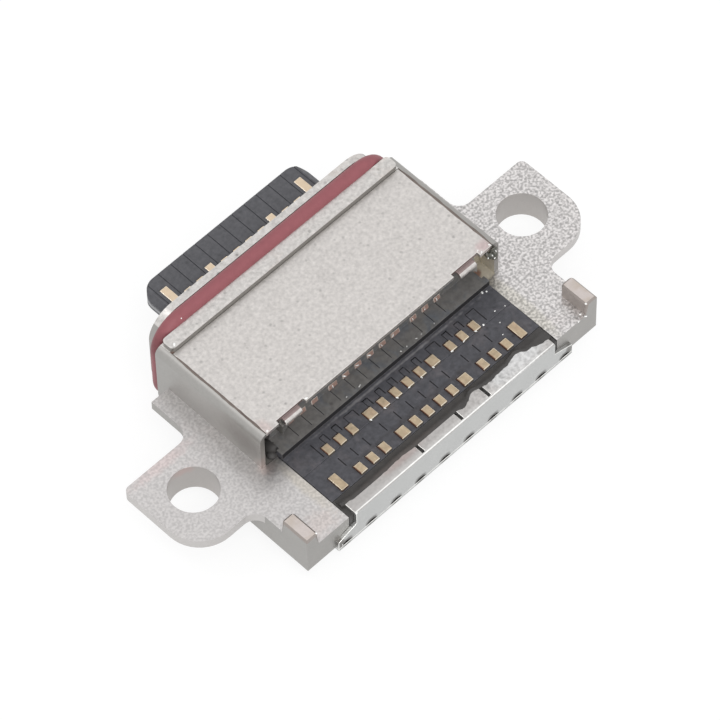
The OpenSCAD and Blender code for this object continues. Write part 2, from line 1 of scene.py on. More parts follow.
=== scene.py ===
import math
import bmesh
import bpy
from mathutils import Matrix, Vector, noise


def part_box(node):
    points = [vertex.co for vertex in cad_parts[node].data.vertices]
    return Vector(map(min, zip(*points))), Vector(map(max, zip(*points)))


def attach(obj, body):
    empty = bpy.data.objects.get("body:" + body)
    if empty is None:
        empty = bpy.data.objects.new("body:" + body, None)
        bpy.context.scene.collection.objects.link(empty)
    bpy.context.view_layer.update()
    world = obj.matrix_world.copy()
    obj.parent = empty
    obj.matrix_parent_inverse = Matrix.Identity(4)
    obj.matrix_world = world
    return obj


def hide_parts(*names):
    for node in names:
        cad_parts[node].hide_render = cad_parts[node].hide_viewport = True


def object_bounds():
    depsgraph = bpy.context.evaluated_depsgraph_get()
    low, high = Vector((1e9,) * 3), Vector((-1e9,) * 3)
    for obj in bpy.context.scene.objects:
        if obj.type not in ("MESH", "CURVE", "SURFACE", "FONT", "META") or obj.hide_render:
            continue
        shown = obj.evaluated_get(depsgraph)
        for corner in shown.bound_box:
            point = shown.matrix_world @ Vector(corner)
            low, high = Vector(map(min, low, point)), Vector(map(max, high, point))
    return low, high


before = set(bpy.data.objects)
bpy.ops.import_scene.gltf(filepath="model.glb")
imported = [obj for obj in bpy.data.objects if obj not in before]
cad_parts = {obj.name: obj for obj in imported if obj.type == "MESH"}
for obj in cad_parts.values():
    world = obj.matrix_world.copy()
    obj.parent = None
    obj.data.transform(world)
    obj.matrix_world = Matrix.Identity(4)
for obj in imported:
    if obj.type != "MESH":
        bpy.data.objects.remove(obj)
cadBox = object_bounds()
mm = 0.001  # the modelling below is in millimetres and is scaled at the end

camera = {"azimuth": 136.408, "elevation": 56.707, "roll": -1.459, "distance": 162.98, "aimRight": -0.011,
          "aimUp": -0.292, "lens": 279.2, "sensor": 36, "near": 0.01, "far": 20}

studio = {
    "roomLight": 0.72,
    "lampDistance": 300,
    "lampPower": 4,
    "floorHalf": 1.2,
    "floorPaint": (0.93, 0.93, 0.93, 1),
    "floorGlow": 1.06,
    "floorShare": 0.8,  # how much of the floor's white doesn't depend on the lamps
    # name, compass direction, height angle, size, brightness
    "lamps": (
        ("rearBox", 155, 24, 110, 2.4),
        ("sparkBox", 32, 62, 60, 4.0),
        ("fillBox", 150, 62, 150, 2.2),
    ),
}


def direction(azimuth, elevation):
    a, e = math.radians(azimuth), math.radians(elevation)
    return Vector((math.sin(a) * math.cos(e), -math.cos(a) * math.cos(e), math.sin(e)))


def addObject(name, data):
    made = bpy.data.objects.new(name, data)
    bpy.context.scene.collection.objects.link(made)
    return made


def makeCamera():
    back = direction(camera["azimuth"], camera["elevation"])
    right = (-back).cross(Vector((0, 0, 1))).normalized()
    up = back.cross(right)
    roll = math.radians(camera["roll"])
    turnedRight = right * math.cos(roll) + up * math.sin(roll)
    turnedUp = up * math.cos(roll) - right * math.sin(roll)
    place = back * camera["distance"] + turnedRight * camera["aimRight"] + turnedUp * camera["aimUp"]
    data = bpy.data.cameras.new("benchCamera")
    data.lens = camera["lens"]
    data.sensor_width = camera["sensor"]
    data.sensor_fit = "HORIZONTAL"
    data.clip_start = camera["near"]
    data.clip_end = camera["far"]
    made = addObject("benchCamera", data)
    made.matrix_world = Matrix.Translation(place * mm) @ Matrix((turnedRight, turnedUp, back)).transposed().to_4x4()
    bpy.context.scene.camera = made


# Node helpers: a value is linked when it is a socket and set when it is a plain value
def put(tree, kind, values=None, **settings):
    made = tree.nodes.new(kind)
    for key, value in settings.items():
        setattr(made, key, value)
    for key, value in (values or {}).items():
        if isinstance(value, bpy.types.NodeSocket):
            tree.links.new(value, made.inputs[key])
        else:
            made.inputs[key].default_value = value
    return made


# The first output of a new node
def first(tree, kind, values=None, **settings):
    return put(tree, kind, values, **settings).outputs[0]


def math2(tree, operation, a, b=0.0, clamp=False):
    return first(tree, "ShaderNodeMath", {0: a, 1: b}, operation=operation, use_clamp=clamp)


def plus(tree, a, b):
    return math2(tree, "ADD", a, b)


def minus(tree, a, b):
    return math2(tree, "SUBTRACT", a, b)


def times(tree, a, b):
    return math2(tree, "MULTIPLY", a, b)


def mixColour(tree, share, a, b, blend="MIX"):
    made = put(tree, "ShaderNodeMix", {0: share, 6: a, 7: b}, data_type="RGBA", blend_type=blend)
    return made.outputs[2]


def ramp(tree, value, low, high, toLow=0.0, toHigh=1.0):
    made = put(tree, "ShaderNodeMapRange", {0: value, 1: low, 2: high, 3: toLow, 4: toHigh})
    made.interpolation_type = "SMOOTHSTEP"
    return made.outputs[0]


def noiseAt(tree, place, scale, detail, **more):
    values = {"Vector": place, "Scale": scale, "Detail": detail}
    values.update({key.capitalize(): value for key, value in more.items()})
    return first(tree, "ShaderNodeTexNoise", values)


# A node group with sockets, each given as its side, its kind and the labels
def newTree(kind, name, *sockets):
    tree = bpy.data.node_groups.new(name, kind)
    for side, socketKind, labels in sockets:
        for label in labels:
            tree.interface.new_socket(label, in_out=side, socket_type="NodeSocket" + socketKind)
    return tree, tree.nodes.new("NodeGroupInput").outputs, tree.nodes.new("NodeGroupOutput").inputs


def newGroup(name, floats, *outputs, vectors=()):
    return newTree("ShaderNodeTree", name, ("INPUT", "Vector", ("Place", *vectors)), ("INPUT", "Float", floats),
                   ("OUTPUT", "Float", outputs))


def srgb(red, green, blue):
    def one(value):
        share = value / 255
        return share / 12.92 if share <= 0.04045 else ((share + 0.055) / 1.055) ** 2.4
    return (one(red), one(green), one(blue), 1.0)


grainLook = {"wideScale": 1.3, "wideShare": 0.08, "specksPerGrain": 0.32, "speckNear": 0.05, "speckFar": 0.2}


# Fine grain of a blasted or moulded surface: a shade that multiplies a colour, and a height
def makeGrainGroup():
    tree, given, result = newGroup("surfaceGrain", ("Fineness", "Contrast", "Specks"), "Shade", "Height")
    fine = noiseAt(tree, given["Place"], given["Fineness"], 2.0, roughness=0.6)
    wide = noiseAt(tree, given["Place"], grainLook["wideScale"], 2.0)
    often = times(tree, given["Fineness"], grainLook["specksPerGrain"])
    spots = put(tree, "ShaderNodeTexVoronoi", {"Vector": given["Place"], "Scale": often})
    speck = ramp(tree, spots.outputs["Distance"], grainLook["speckNear"], grainLook["speckFar"], 1.0, 0.0)
    centred = minus(tree, fine, 0.5)
    swing = times(tree, times(tree, centred, 2.0), given["Contrast"])
    broad = times(tree, minus(tree, wide, 0.5), grainLook["wideShare"])
    dark = times(tree, times(tree, speck, given["Specks"]), given["Contrast"])
    shade = minus(tree, plus(tree, plus(tree, swing, broad), 1.0), dark)
    tree.links.new(shade, result["Shade"])
    tree.links.new(fine, result["Height"])
    return tree


wearLook = {"patchScale": 3.0, "bareFrom": 0.3, "bareTo": 0.55, "least": 0.25}


# Where an edge is lighter: the bevelled faces, broken up by noise; partly rubbed wear and partly a painted highlight
# along the edges
def makeWearGroup():
    tree, given, result = newGroup("edgeWearAndSheen", ("Amount",), "Mask")
    worn = put(tree, "ShaderNodeAttribute", attribute_name="worn")
    patches = noiseAt(tree, given["Place"], wearLook["patchScale"], 3.0)
    broken = ramp(tree, patches, wearLook["bareFrom"], wearLook["bareTo"], wearLook["least"], 1.0)
    mask = times(tree, times(tree, worn.outputs["Fac"], broken), given["Amount"])
    tree.links.new(mask, result["Mask"])
    return tree


stainFade = 0.18


# Patches where handling or heat has tinted the surface
def makeStainGroup():
    tree, given, result = newGroup("stainPatches", ("Size", "Cover"), "Mask")
    patches = noiseAt(tree, given["Place"], given["Size"], 4.0, roughness=0.65, distortion=0.6)
    edge = minus(tree, 1.0, given["Cover"])
    mask = first(tree, "ShaderNodeMapRange", {0: patches, 1: edge, 2: plus(tree, edge, stainFade)})
    tree.links.new(mask, result["Mask"])
    return tree


raggedScale = 5.0


# One tinted spot with a ragged edge, at a place on the piece
def makeSpotGroup():
    tree, given, result = newGroup("tintedSpot", ("Softness", "Ragged"), "Mask", vectors=("Centre", "Reach"))
    away = first(tree, "ShaderNodeVectorMath", {0: given["Place"], 1: given["Centre"]}, operation="SUBTRACT")
    share = first(tree, "ShaderNodeVectorMath", {0: away, 1: given["Reach"]}, operation="DIVIDE")
    far = put(tree, "ShaderNodeVectorMath", {0: share}, operation="LENGTH").outputs["Value"]
    patches = noiseAt(tree, given["Place"], raggedScale, 3.0)
    shift = times(tree, minus(tree, patches, 0.5), given["Ragged"])
    near = minus(tree, 1.0, given["Softness"])
    mask = ramp(tree, plus(tree, far, shift), near, 1.0, 1.0, 0.0)
    tree.links.new(mask, result["Mask"])
    return tree


# The worms, painted sparkle, are dark below the first height and light above the second, and fade from -X to +X
wormLook = {"scale": 12.5, "darkAt": 0.28, "lightAt": 0.72, "darkest": -0.85, "fadeFrom": -2.0, "fadeTo": 2.0,
            "faded": 0.35}


# Painted light and shade on a cast skin: darker hollows and lighter ridges from the mesh's relief, and the fine worms
# between them as painted sparkle
def makeSkinGroup():
    tree, given, result = newGroup("castShade", ("Share", "Worms"), "Shade")
    height = put(tree, "ShaderNodeAttribute", attribute_name="relief").outputs["Fac"]
    wide = times(tree, height, given["Share"])
    worms = noiseAt(tree, given["Place"], wormLook["scale"], 0.4, distortion=0.4)
    ridge = ramp(tree, worms, wormLook["darkAt"], wormLook["lightAt"], wormLook["darkest"], 1.0)
    aside = first(tree, "ShaderNodeSeparateXYZ", {0: given["Place"]})
    fade = ramp(tree, aside, wormLook["fadeFrom"], wormLook["fadeTo"], 1.0, wormLook["faded"])
    strength = times(tree, given["Worms"], fade)
    fine = times(tree, ridge, strength)
    tree.links.new(plus(tree, plus(tree, wide, fine), 1.0), result["Shade"])
    return tree


grainGroup = makeGrainGroup()
wearGroup = makeWearGroup()
stainGroup = makeStainGroup()
spotGroup = makeSpotGroup()
skinGroup = makeSkinGroup()


def clearTree(owner):
    owner.use_nodes = True
    owner.node_tree.nodes.clear()
    return owner.node_tree


def useGroup(tree, group, values):
    return put(tree, "ShaderNodeGroup", values, node_tree=group).outputs


def darken(tree, colour, shade):
    grey = first(tree, "ShaderNodeCombineColor", {0: shade, 1: shade, 2: shade})
    return mixColour(tree, 1.0, colour, grey, "MULTIPLY")


def tinted(tree, colour, mask, share, tint):
    return mixColour(tree, times(tree, mask, share), colour, srgb(*tint))


rubbedPolish = 0.35  # how much smoother a rubbed edge is


# One finish: colour, tint patches and spots, grain, bump and lighter edges, rubbed wear and painted highlight, on a
# Principled surface
# grain is fineness, contrast and specks; bump is strength and depth; tint is colour, size, cover and share;
# a spot is colour, share, centre, reach, softness and raggedness, and a pitch repeats the first one along X
# relief is the share of the painted light and shade from the mesh's own relief and of the fine worms
def makeFinish(name, colour, metallic, roughness, grain=(14, 0.1, 0.5), bump=(0.2, 0.004), tint=None, spots=(),
               edge=None, wear=1.0, specular=0.5, relief=None, pitch=0.0):
    made = bpy.data.materials.new(name)
    tree = clearTree(made)
    texture = put(tree, "ShaderNodeTexCoord")
    scale = (1 / mm,) * 3
    place = first(tree, "ShaderNodeMapping", {"Vector": texture.outputs["Object"], "Scale": scale})
    values = dict(zip(("Fineness", "Contrast", "Specks"), grain))
    grained = useGroup(tree, grainGroup, {"Place": place, **values})
    shown = srgb(*colour)
    if tint:
        tintColour, size, cover, share = tint
        stain = useGroup(tree, stainGroup, {"Place": place, "Size": size, "Cover": cover})
        shown = tinted(tree, shown, stain["Mask"], share, tintColour)
    spotPlace = place
    if pitch:
        parts = put(tree, "ShaderNodeSeparateXYZ", {0: place}).outputs
        inRow = first(tree, "ShaderNodeMath", {0: parts[0], 1: pitch, 2: 0.0}, operation="WRAP")
        spotPlace = first(tree, "ShaderNodeCombineXYZ", {0: inRow, 1: parts[1], 2: parts[2]})
    for spotColour, share, centre, reach, softness, ragged in spots:
        spot = useGroup(tree, spotGroup, {"Place": spotPlace, "Centre": centre, "Reach": reach, "Softness": softness,
                                          "Ragged": ragged})
        shown = tinted(tree, shown, spot["Mask"], share, spotColour)
        spotPlace = place
    if relief:
        skin = useGroup(tree, skinGroup, {"Place": place, "Share": relief[0], "Worms": relief[1]})
        shown = darken(tree, shown, skin["Shade"])
    shown = darken(tree, shown, grained["Shade"])
    rough = roughness
    if edge:
        mask = useGroup(tree, wearGroup, {"Place": place, "Amount": wear})["Mask"]
        shown = mixColour(tree, mask, shown, srgb(*edge))
        polish = times(tree, mask, rubbedPolish)
        rough = times(tree, roughness, minus(tree, 1.0, polish))
    height = {"Strength": bump[0], "Distance": bump[1] * mm, "Height": grained["Height"]}
    bumped = first(tree, "ShaderNodeBump", height)
    surface = first(tree, "ShaderNodeBsdfPrincipled", {
        "Metallic": metallic, "Specular IOR Level": specular, "Base Color": shown, "Roughness": rough,
        "Normal": bumped})
    put(tree, "ShaderNodeOutputMaterial", {"Surface": surface})
    return made


def makeFloor():
    half, low = studio["floorHalf"], cadBox[0].z
    corners = [(-half, -half, low), (half, -half, low), (half, half, low), (-half, half, low)]
    data = bpy.data.meshes.new("benchTop")
    data.from_pydata(corners, [], [(0, 1, 2, 3)])
    floor = addObject("benchTop", data)
    made = bpy.data.materials.new("benchWhite")
    tree = clearTree(made)
    paths = put(tree, "ShaderNodeLightPath").outputs
    seen = math2(tree, "ADD", paths["Is Camera Ray"], paths["Is Glossy Ray"], True)
    share = times(tree, seen, studio["floorShare"])
    matt = first(tree, "ShaderNodeBsdfDiffuse", {"Color": studio["floorPaint"]})
    white = first(tree, "ShaderNodeEmission", {"Color": (1, 1, 1, 1), "Strength": studio["floorGlow"]})
    mixed = first(tree, "ShaderNodeMixShader", {0: share, 1: matt, 2: white})
    put(tree, "ShaderNodeOutputMaterial", {"Surface": mixed})
    data.materials.append(made)


def makeLight():
    world = bpy.data.worlds.new("paleRoom")
    bpy.context.scene.world = world
    tree = clearTree(world)
    paths = put(tree, "ShaderNodeLightPath").outputs
    seen = math2(tree, "ADD", paths["Is Camera Ray"], paths["Is Glossy Ray"], True)
    seen = math2(tree, "ADD", seen, paths["Is Transmission Ray"], True)
    strength = first(tree, "ShaderNodeMix", {0: seen, 2: studio["roomLight"], 3: 1.0}, data_type="FLOAT")
    light = first(tree, "ShaderNodeBackground", {"Color": (1, 1, 1, 1), "Strength": strength})
    put(tree, "ShaderNodeOutputWorld", {"Surface": light})
    middle = (cadBox[0] + cadBox[1]) / 2
    for name, azimuth, elevation, size, brightness in studio["lamps"]:
        data = bpy.data.lights.new(name, "AREA")
        data.shape = "SQUARE"
        data.size = size * mm
        data.energy = brightness * studio["lampPower"] * (size * mm) ** 2
        lamp = addObject(name, data)
        away = direction(azimuth, elevation)
        place = Matrix.Translation(middle + away * studio["lampDistance"] * mm)
        lamp.matrix_world = place @ away.to_track_quat("Z", "Y").to_matrix().to_4x4()


view = bpy.context.scene.view_settings
view.view_transform = "Standard"
makeCamera()
makeFloor()
makeLight()
print("camera, floor and light made")


cleanup = {"merge": 0.0004, "sliver": 0.0002, "flatAngle": math.radians(1)}


# A node's solid in millimetres, merged and with its flat faces whole again
def solidOf(node):
    made = bmesh.new()
    made.from_mesh(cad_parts[node].data)
    bmesh.ops.scale(made, vec=(1 / mm,) * 3, verts=made.verts)
    bmesh.ops.remove_doubles(made, verts=made.verts, dist=cleanup["merge"])
    bmesh.ops.dissolve_degenerate(made, edges=made.edges, dist=cleanup["sliver"])
    bmesh.ops.dissolve_limit(made, angle_limit=cleanup["flatAngle"], verts=made.verts, edges=made.edges)
    return made


def dropMesh(made, name):
    data = bpy.data.meshes.new(name)
    if made:
        made.to_mesh(data)
        made.free()
    return addObject(name, data)


# Replaces an object's live modifiers by the mesh that they give
def settle(obj):
    graph = bpy.context.evaluated_depsgraph_get()
    shaped = bpy.data.meshes.new_from_object(obj.evaluated_get(graph), depsgraph=graph)
    shaped.name = obj.name
    obj.modifiers.clear()
    obj.data = shaped
    return obj


edgeBreak = {"angle": math.radians(28), "segments": 2, "normalWeight": 90}


# Large faces set the normals, so that flat faces shade flat between rounded edges
def smoothShade(obj, angle=42, bevelled=False):
    for face in obj.data.polygons:
        face.use_smooth = True
    obj.data.set_sharp_from_angle(angle=math.radians(angle))
    weighted = obj.modifiers.new("flatFaces", "WEIGHTED_NORMAL")
    weighted.mode = "FACE_AREA"
    weighted.weight = edgeBreak["normalWeight"]
    weighted.keep_sharp = True
    weighted.use_face_influence = bevelled
    cut = obj.modifiers.new("triangles", "TRIANGULATE")
    cut.keep_custom_normals = True
    settle(obj)


# Breaks the sharp edges of a piece, and marks the new faces as the ones that take the edge colour, rubbed wear and
# painted highlight
def breakEdges(obj, used, width, choose=None, relief=None, cutters=()):
    for finish in used + used[:1]:
        obj.data.materials.append(finish)
    edge = len(used)
    bevel = obj.modifiers.new("brokenEdge", "BEVEL")
    bevel.width = width
    bevel.segments = edgeBreak["segments"]
    bevel.limit_method = "ANGLE"
    bevel.angle_limit = edgeBreak["angle"]
    bevel.material = edge
    bevel.use_clamp_overlap = True
    bevel.face_strength_mode = "FSTR_ALL"
    settle(obj)
    data = obj.data
    worn = data.attributes.new("worn", "FLOAT", "FACE")
    for face in data.polygons:
        worn.data[face.index].value = 1.0 if face.material_index == edge else 0.0
        face.material_index = choose(face.center, face.normal) if choose else 0
    if relief:
        relief(obj)
    for cutter in cutters:
        cut = obj.modifiers.new("grooves", "BOOLEAN")
        cut.operation = "DIFFERENCE"
        cut.solver = "MANIFOLD"
        cut.material_mode = "TRANSFER"
        cut.object = cutter
    if cutters:
        settle(obj)
        for cutter in cutters:
            bpy.data.objects.remove(cutter)
    smoothShade(obj, bevelled=True)


def hand(obj, slotName, *nodes):
    obj.data.transform(Matrix.Scale(mm, 4))
    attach(obj, "root")
    if nodes:
        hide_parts(*nodes)
    return obj


def dress(node, name, slotName, used, width, choose=None, rework=None, **more):
    solid = solidOf(node)
    if rework:
        rework(solid)
    made = dropMesh(solid, name)
    breakEdges(made, used, width, choose=choose, **more)
    return hand(made, slotName, node)


def blendIn(value, low, high):
    share = min(max((value - low) / (high - low), 0), 1)
    return share * share * (3 - 2 * share)


# Geometry Nodes: one tree with named inputs, grown on a plain mesh object and settled
def newGrowth(name, whole=(), floats=()):
    return newTree("GeometryNodeTree", name, ("INPUT", "Geometry", ("Geometry",)),
                   ("OUTPUT", "Geometry", ("Geometry",)), ("INPUT", "Int", whole), ("INPUT", "Float", floats),
                   ("INPUT", "Material", ("Material",)))


def grow(obj, tree, values):
    modifier = obj.modifiers.new(tree.name, "NODES")
    modifier.node_group = tree
    sockets = {item.name: item.identifier for item in tree.interface.items_tree if item.in_out == "INPUT"}
    for label, value in values.items():
        modifier[sockets[label]] = value
    return settle(obj)


# Stands a shape at each point
def standAt(tree, points, shape, values):
    return first(tree, "GeometryNodeInstanceOnPoints", {"Points": points, "Instance": shape, **values})


def endGrowth(tree, grown, given, result):
    real = first(tree, "GeometryNodeRealizeInstances", {0: grown})
    done = first(tree, "GeometryNodeSetMaterial", {"Geometry": real, "Material": given["Material"]})
    tree.links.new(done, result["Geometry"])
    return tree


def sizeAtPoint(tree):
    made = put(tree, "GeometryNodeInputNamedAttribute", {"Name": "ownSize"}, data_type="FLOAT_VECTOR")
    return made.outputs["Attribute"]


# Boxes of their own size at the points of a mesh, such as the bars of a row of slots
def makeBarTree():
    tree, given, result = newGrowth("barsAtPoints")
    box = first(tree, "GeometryNodeMeshCube")
    placed = standAt(tree, given["Geometry"], box, {"Scale": sizeAtPoint(tree)})
    return endGrowth(tree, placed, given, result)


# Evenly spaced grooves along Y, above and below the tongue
def makeGrooveTree():
    labels = ("Pitch", "Width", "Length", "Height", "Middle Y", "Level")
    tree, given, result = newGrowth("tongueGrooves", ("Count",), labels)
    size = first(tree, "ShaderNodeCombineXYZ", {0: given["Width"], 1: given["Length"], 2: given["Height"]})
    box = first(tree, "GeometryNodeMeshCube", {"Size": size})
    reach = times(tree, minus(tree, given["Count"], 1.0), given["Pitch"])
    startX = times(tree, reach, -0.5)
    start = first(tree, "ShaderNodeCombineXYZ", {0: startX, 1: given["Middle Y"], 2: given["Level"]})
    step = first(tree, "ShaderNodeCombineXYZ", {0: given["Pitch"]})
    line = first(tree, "GeometryNodeMeshLine", {"Count": given["Count"], "Start Location": start, "Offset": step})
    placed = standAt(tree, line, box, {})
    return endGrowth(tree, placed, given, result)


beadLook = {"steps": 3, "least": (-0.3, -0.3, 0), "most": (0.3, 0.3, 6.28)}


# Small rounded lumps at the points of a mesh, turned at random by a fixed seed
def makeBeadTree():
    tree, given, result = newGrowth("beadsAtPoints", ("Seed",))
    ball = first(tree, "GeometryNodeMeshIcoSphere", {"Radius": 1.0, "Subdivisions": beadLook["steps"]})
    soft = first(tree, "GeometryNodeSetShadeSmooth", {"Geometry": ball})
    limits = {"Min": beadLook["least"], "Max": beadLook["most"], "Seed": given["Seed"]}
    turn = first(tree, "FunctionNodeRandomValue", limits, data_type="FLOAT_VECTOR")
    placed = standAt(tree, given["Geometry"], soft, {"Scale": sizeAtPoint(tree), "Rotation": turn})
    return endGrowth(tree, placed, given, result)


sweep = {"cornerPoints": 14, "sectionPoints": 28, "waveScale": 1.6}


# The seal: its crowned section swept round a rectangle with round corners
def makeSealTree():
    labels = ("Half Width", "Half Height", "Corner", "Crown", "Base", "Ripple")
    tree, given, result = newGrowth("sealSweep", floats=labels)
    wide = times(tree, given["Half Width"], 2.0)
    high = times(tree, given["Half Height"], 2.0)
    path = first(tree, "GeometryNodeCurvePrimitiveQuadrilateral", {"Width": wide, "Height": high})
    bend = {"Curve": path, "Count": sweep["cornerPoints"], "Radius": given["Corner"]}
    bent = first(tree, "GeometryNodeFilletCurve", bend, mode="POLY")
    fine = first(tree, "GeometryNodeResampleCurve", {"Curve": bent}, mode="EVALUATED")
    held = first(tree, "GeometryNodeSetCurveNormal", {"Curve": fine}, mode="Z_UP")
    around = {"Resolution": sweep["sectionPoints"], "Radius": given["Crown"]}
    ring = first(tree, "GeometryNodeCurvePrimitiveCircle", around)
    where = first(tree, "GeometryNodeInputPosition")
    split = put(tree, "ShaderNodeSeparateXYZ", {0: where}).outputs
    low = times(tree, given["Base"], -1.0)
    flat = first(tree, "ShaderNodeCombineXYZ", {0: math2(tree, "MAXIMUM", split[0], low), 1: split[1], 2: split[2]})
    section = first(tree, "GeometryNodeSetPosition", {"Geometry": ring, "Position": flat})
    swept = first(tree, "GeometryNodeCurveToMesh", {"Curve": held, "Profile Curve": section})
    wave = first(tree, "ShaderNodeTexNoise", {"Scale": sweep["waveScale"], "Detail": 2.0})
    lift = times(tree, minus(tree, wave, 0.5), given["Ripple"])
    outward = first(tree, "GeometryNodeInputNormal")
    moved = first(tree, "ShaderNodeVectorMath", {0: outward, 3: lift}, operation="SCALE")
    rippled = first(tree, "GeometryNodeSetPosition", {"Geometry": swept, "Offset": moved})
    soft = first(tree, "GeometryNodeSetShadeSmooth", {"Geometry": rippled})
    return endGrowth(tree, soft, given, result)


barTree = makeBarTree()
grooveTree = makeGrooveTree()
beadTree = makeBeadTree()
sealTree = makeSealTree()


# A mesh of bare points, each with the size of what is to stand there
def pointsWithSizes(name, rows):
    data = bpy.data.meshes.new(name)
    data.from_pydata([place for place, size in rows], [], [])
    sizes = data.attributes.new("ownSize", "FLOAT_VECTOR", "POINT")
    for number, (place, size) in enumerate(rows):
        sizes.data[number].vector = size
    return addObject(name, data)


strips = {"lastShare": 0.2, "onPlane": 0.0005}


# Cuts some faces of a mesh into strips of a given width across one axis
def gridCut(made, faces, axis, spacing):
    across = Vector((1, 0, 0)) if axis == 0 else Vector((0, 1, 0))
    high = max(v.co[axis] for face in faces for v in face.verts)
    place = min(v.co[axis] for face in faces for v in face.verts) + spacing
    ahead, done = faces, []
    while place < high - spacing * strips["lastShare"]:
        geometry = list({item for face in ahead for item in (*face.verts, *face.edges)}) + ahead
        cut = bmesh.ops.bisect_plane(made, geom=geometry, plane_co=across * place, plane_no=across,
                                     dist=strips["onPlane"])
        pieces = [item for item in cut["geom"] if isinstance(item, bmesh.types.BMFace)]
        ahead = [face for face in pieces if face.calc_center_median()[axis] > place]
        done += [face for face in pieces if face.calc_center_median()[axis] <= place]
        place += spacing
    return done + ahead


# Raises and lowers the faces that isSkin picks, by a rise from -1 to 1, and keeps it as the relief
def roughenSkin(obj, isSkin, riseAt, spacing, height):
    made = bmesh.new()
    made.from_mesh(obj.data)
    relief = made.verts.layers.float.new("relief")
    skin = [face for face in made.faces if isSkin(face)]
    for axis in (0, 1):
        skin = gridCut(made, skin, axis, spacing)
    points = {v for face in skin for v in face.verts}
    for point in points:
        rise = riseAt(point.co.x, point.co.y)
        point[relief] = rise
        point.co.z += rise * height
    made.to_mesh(obj.data)
    made.free()
    print(obj.name, "roughened at", len(points), "points")


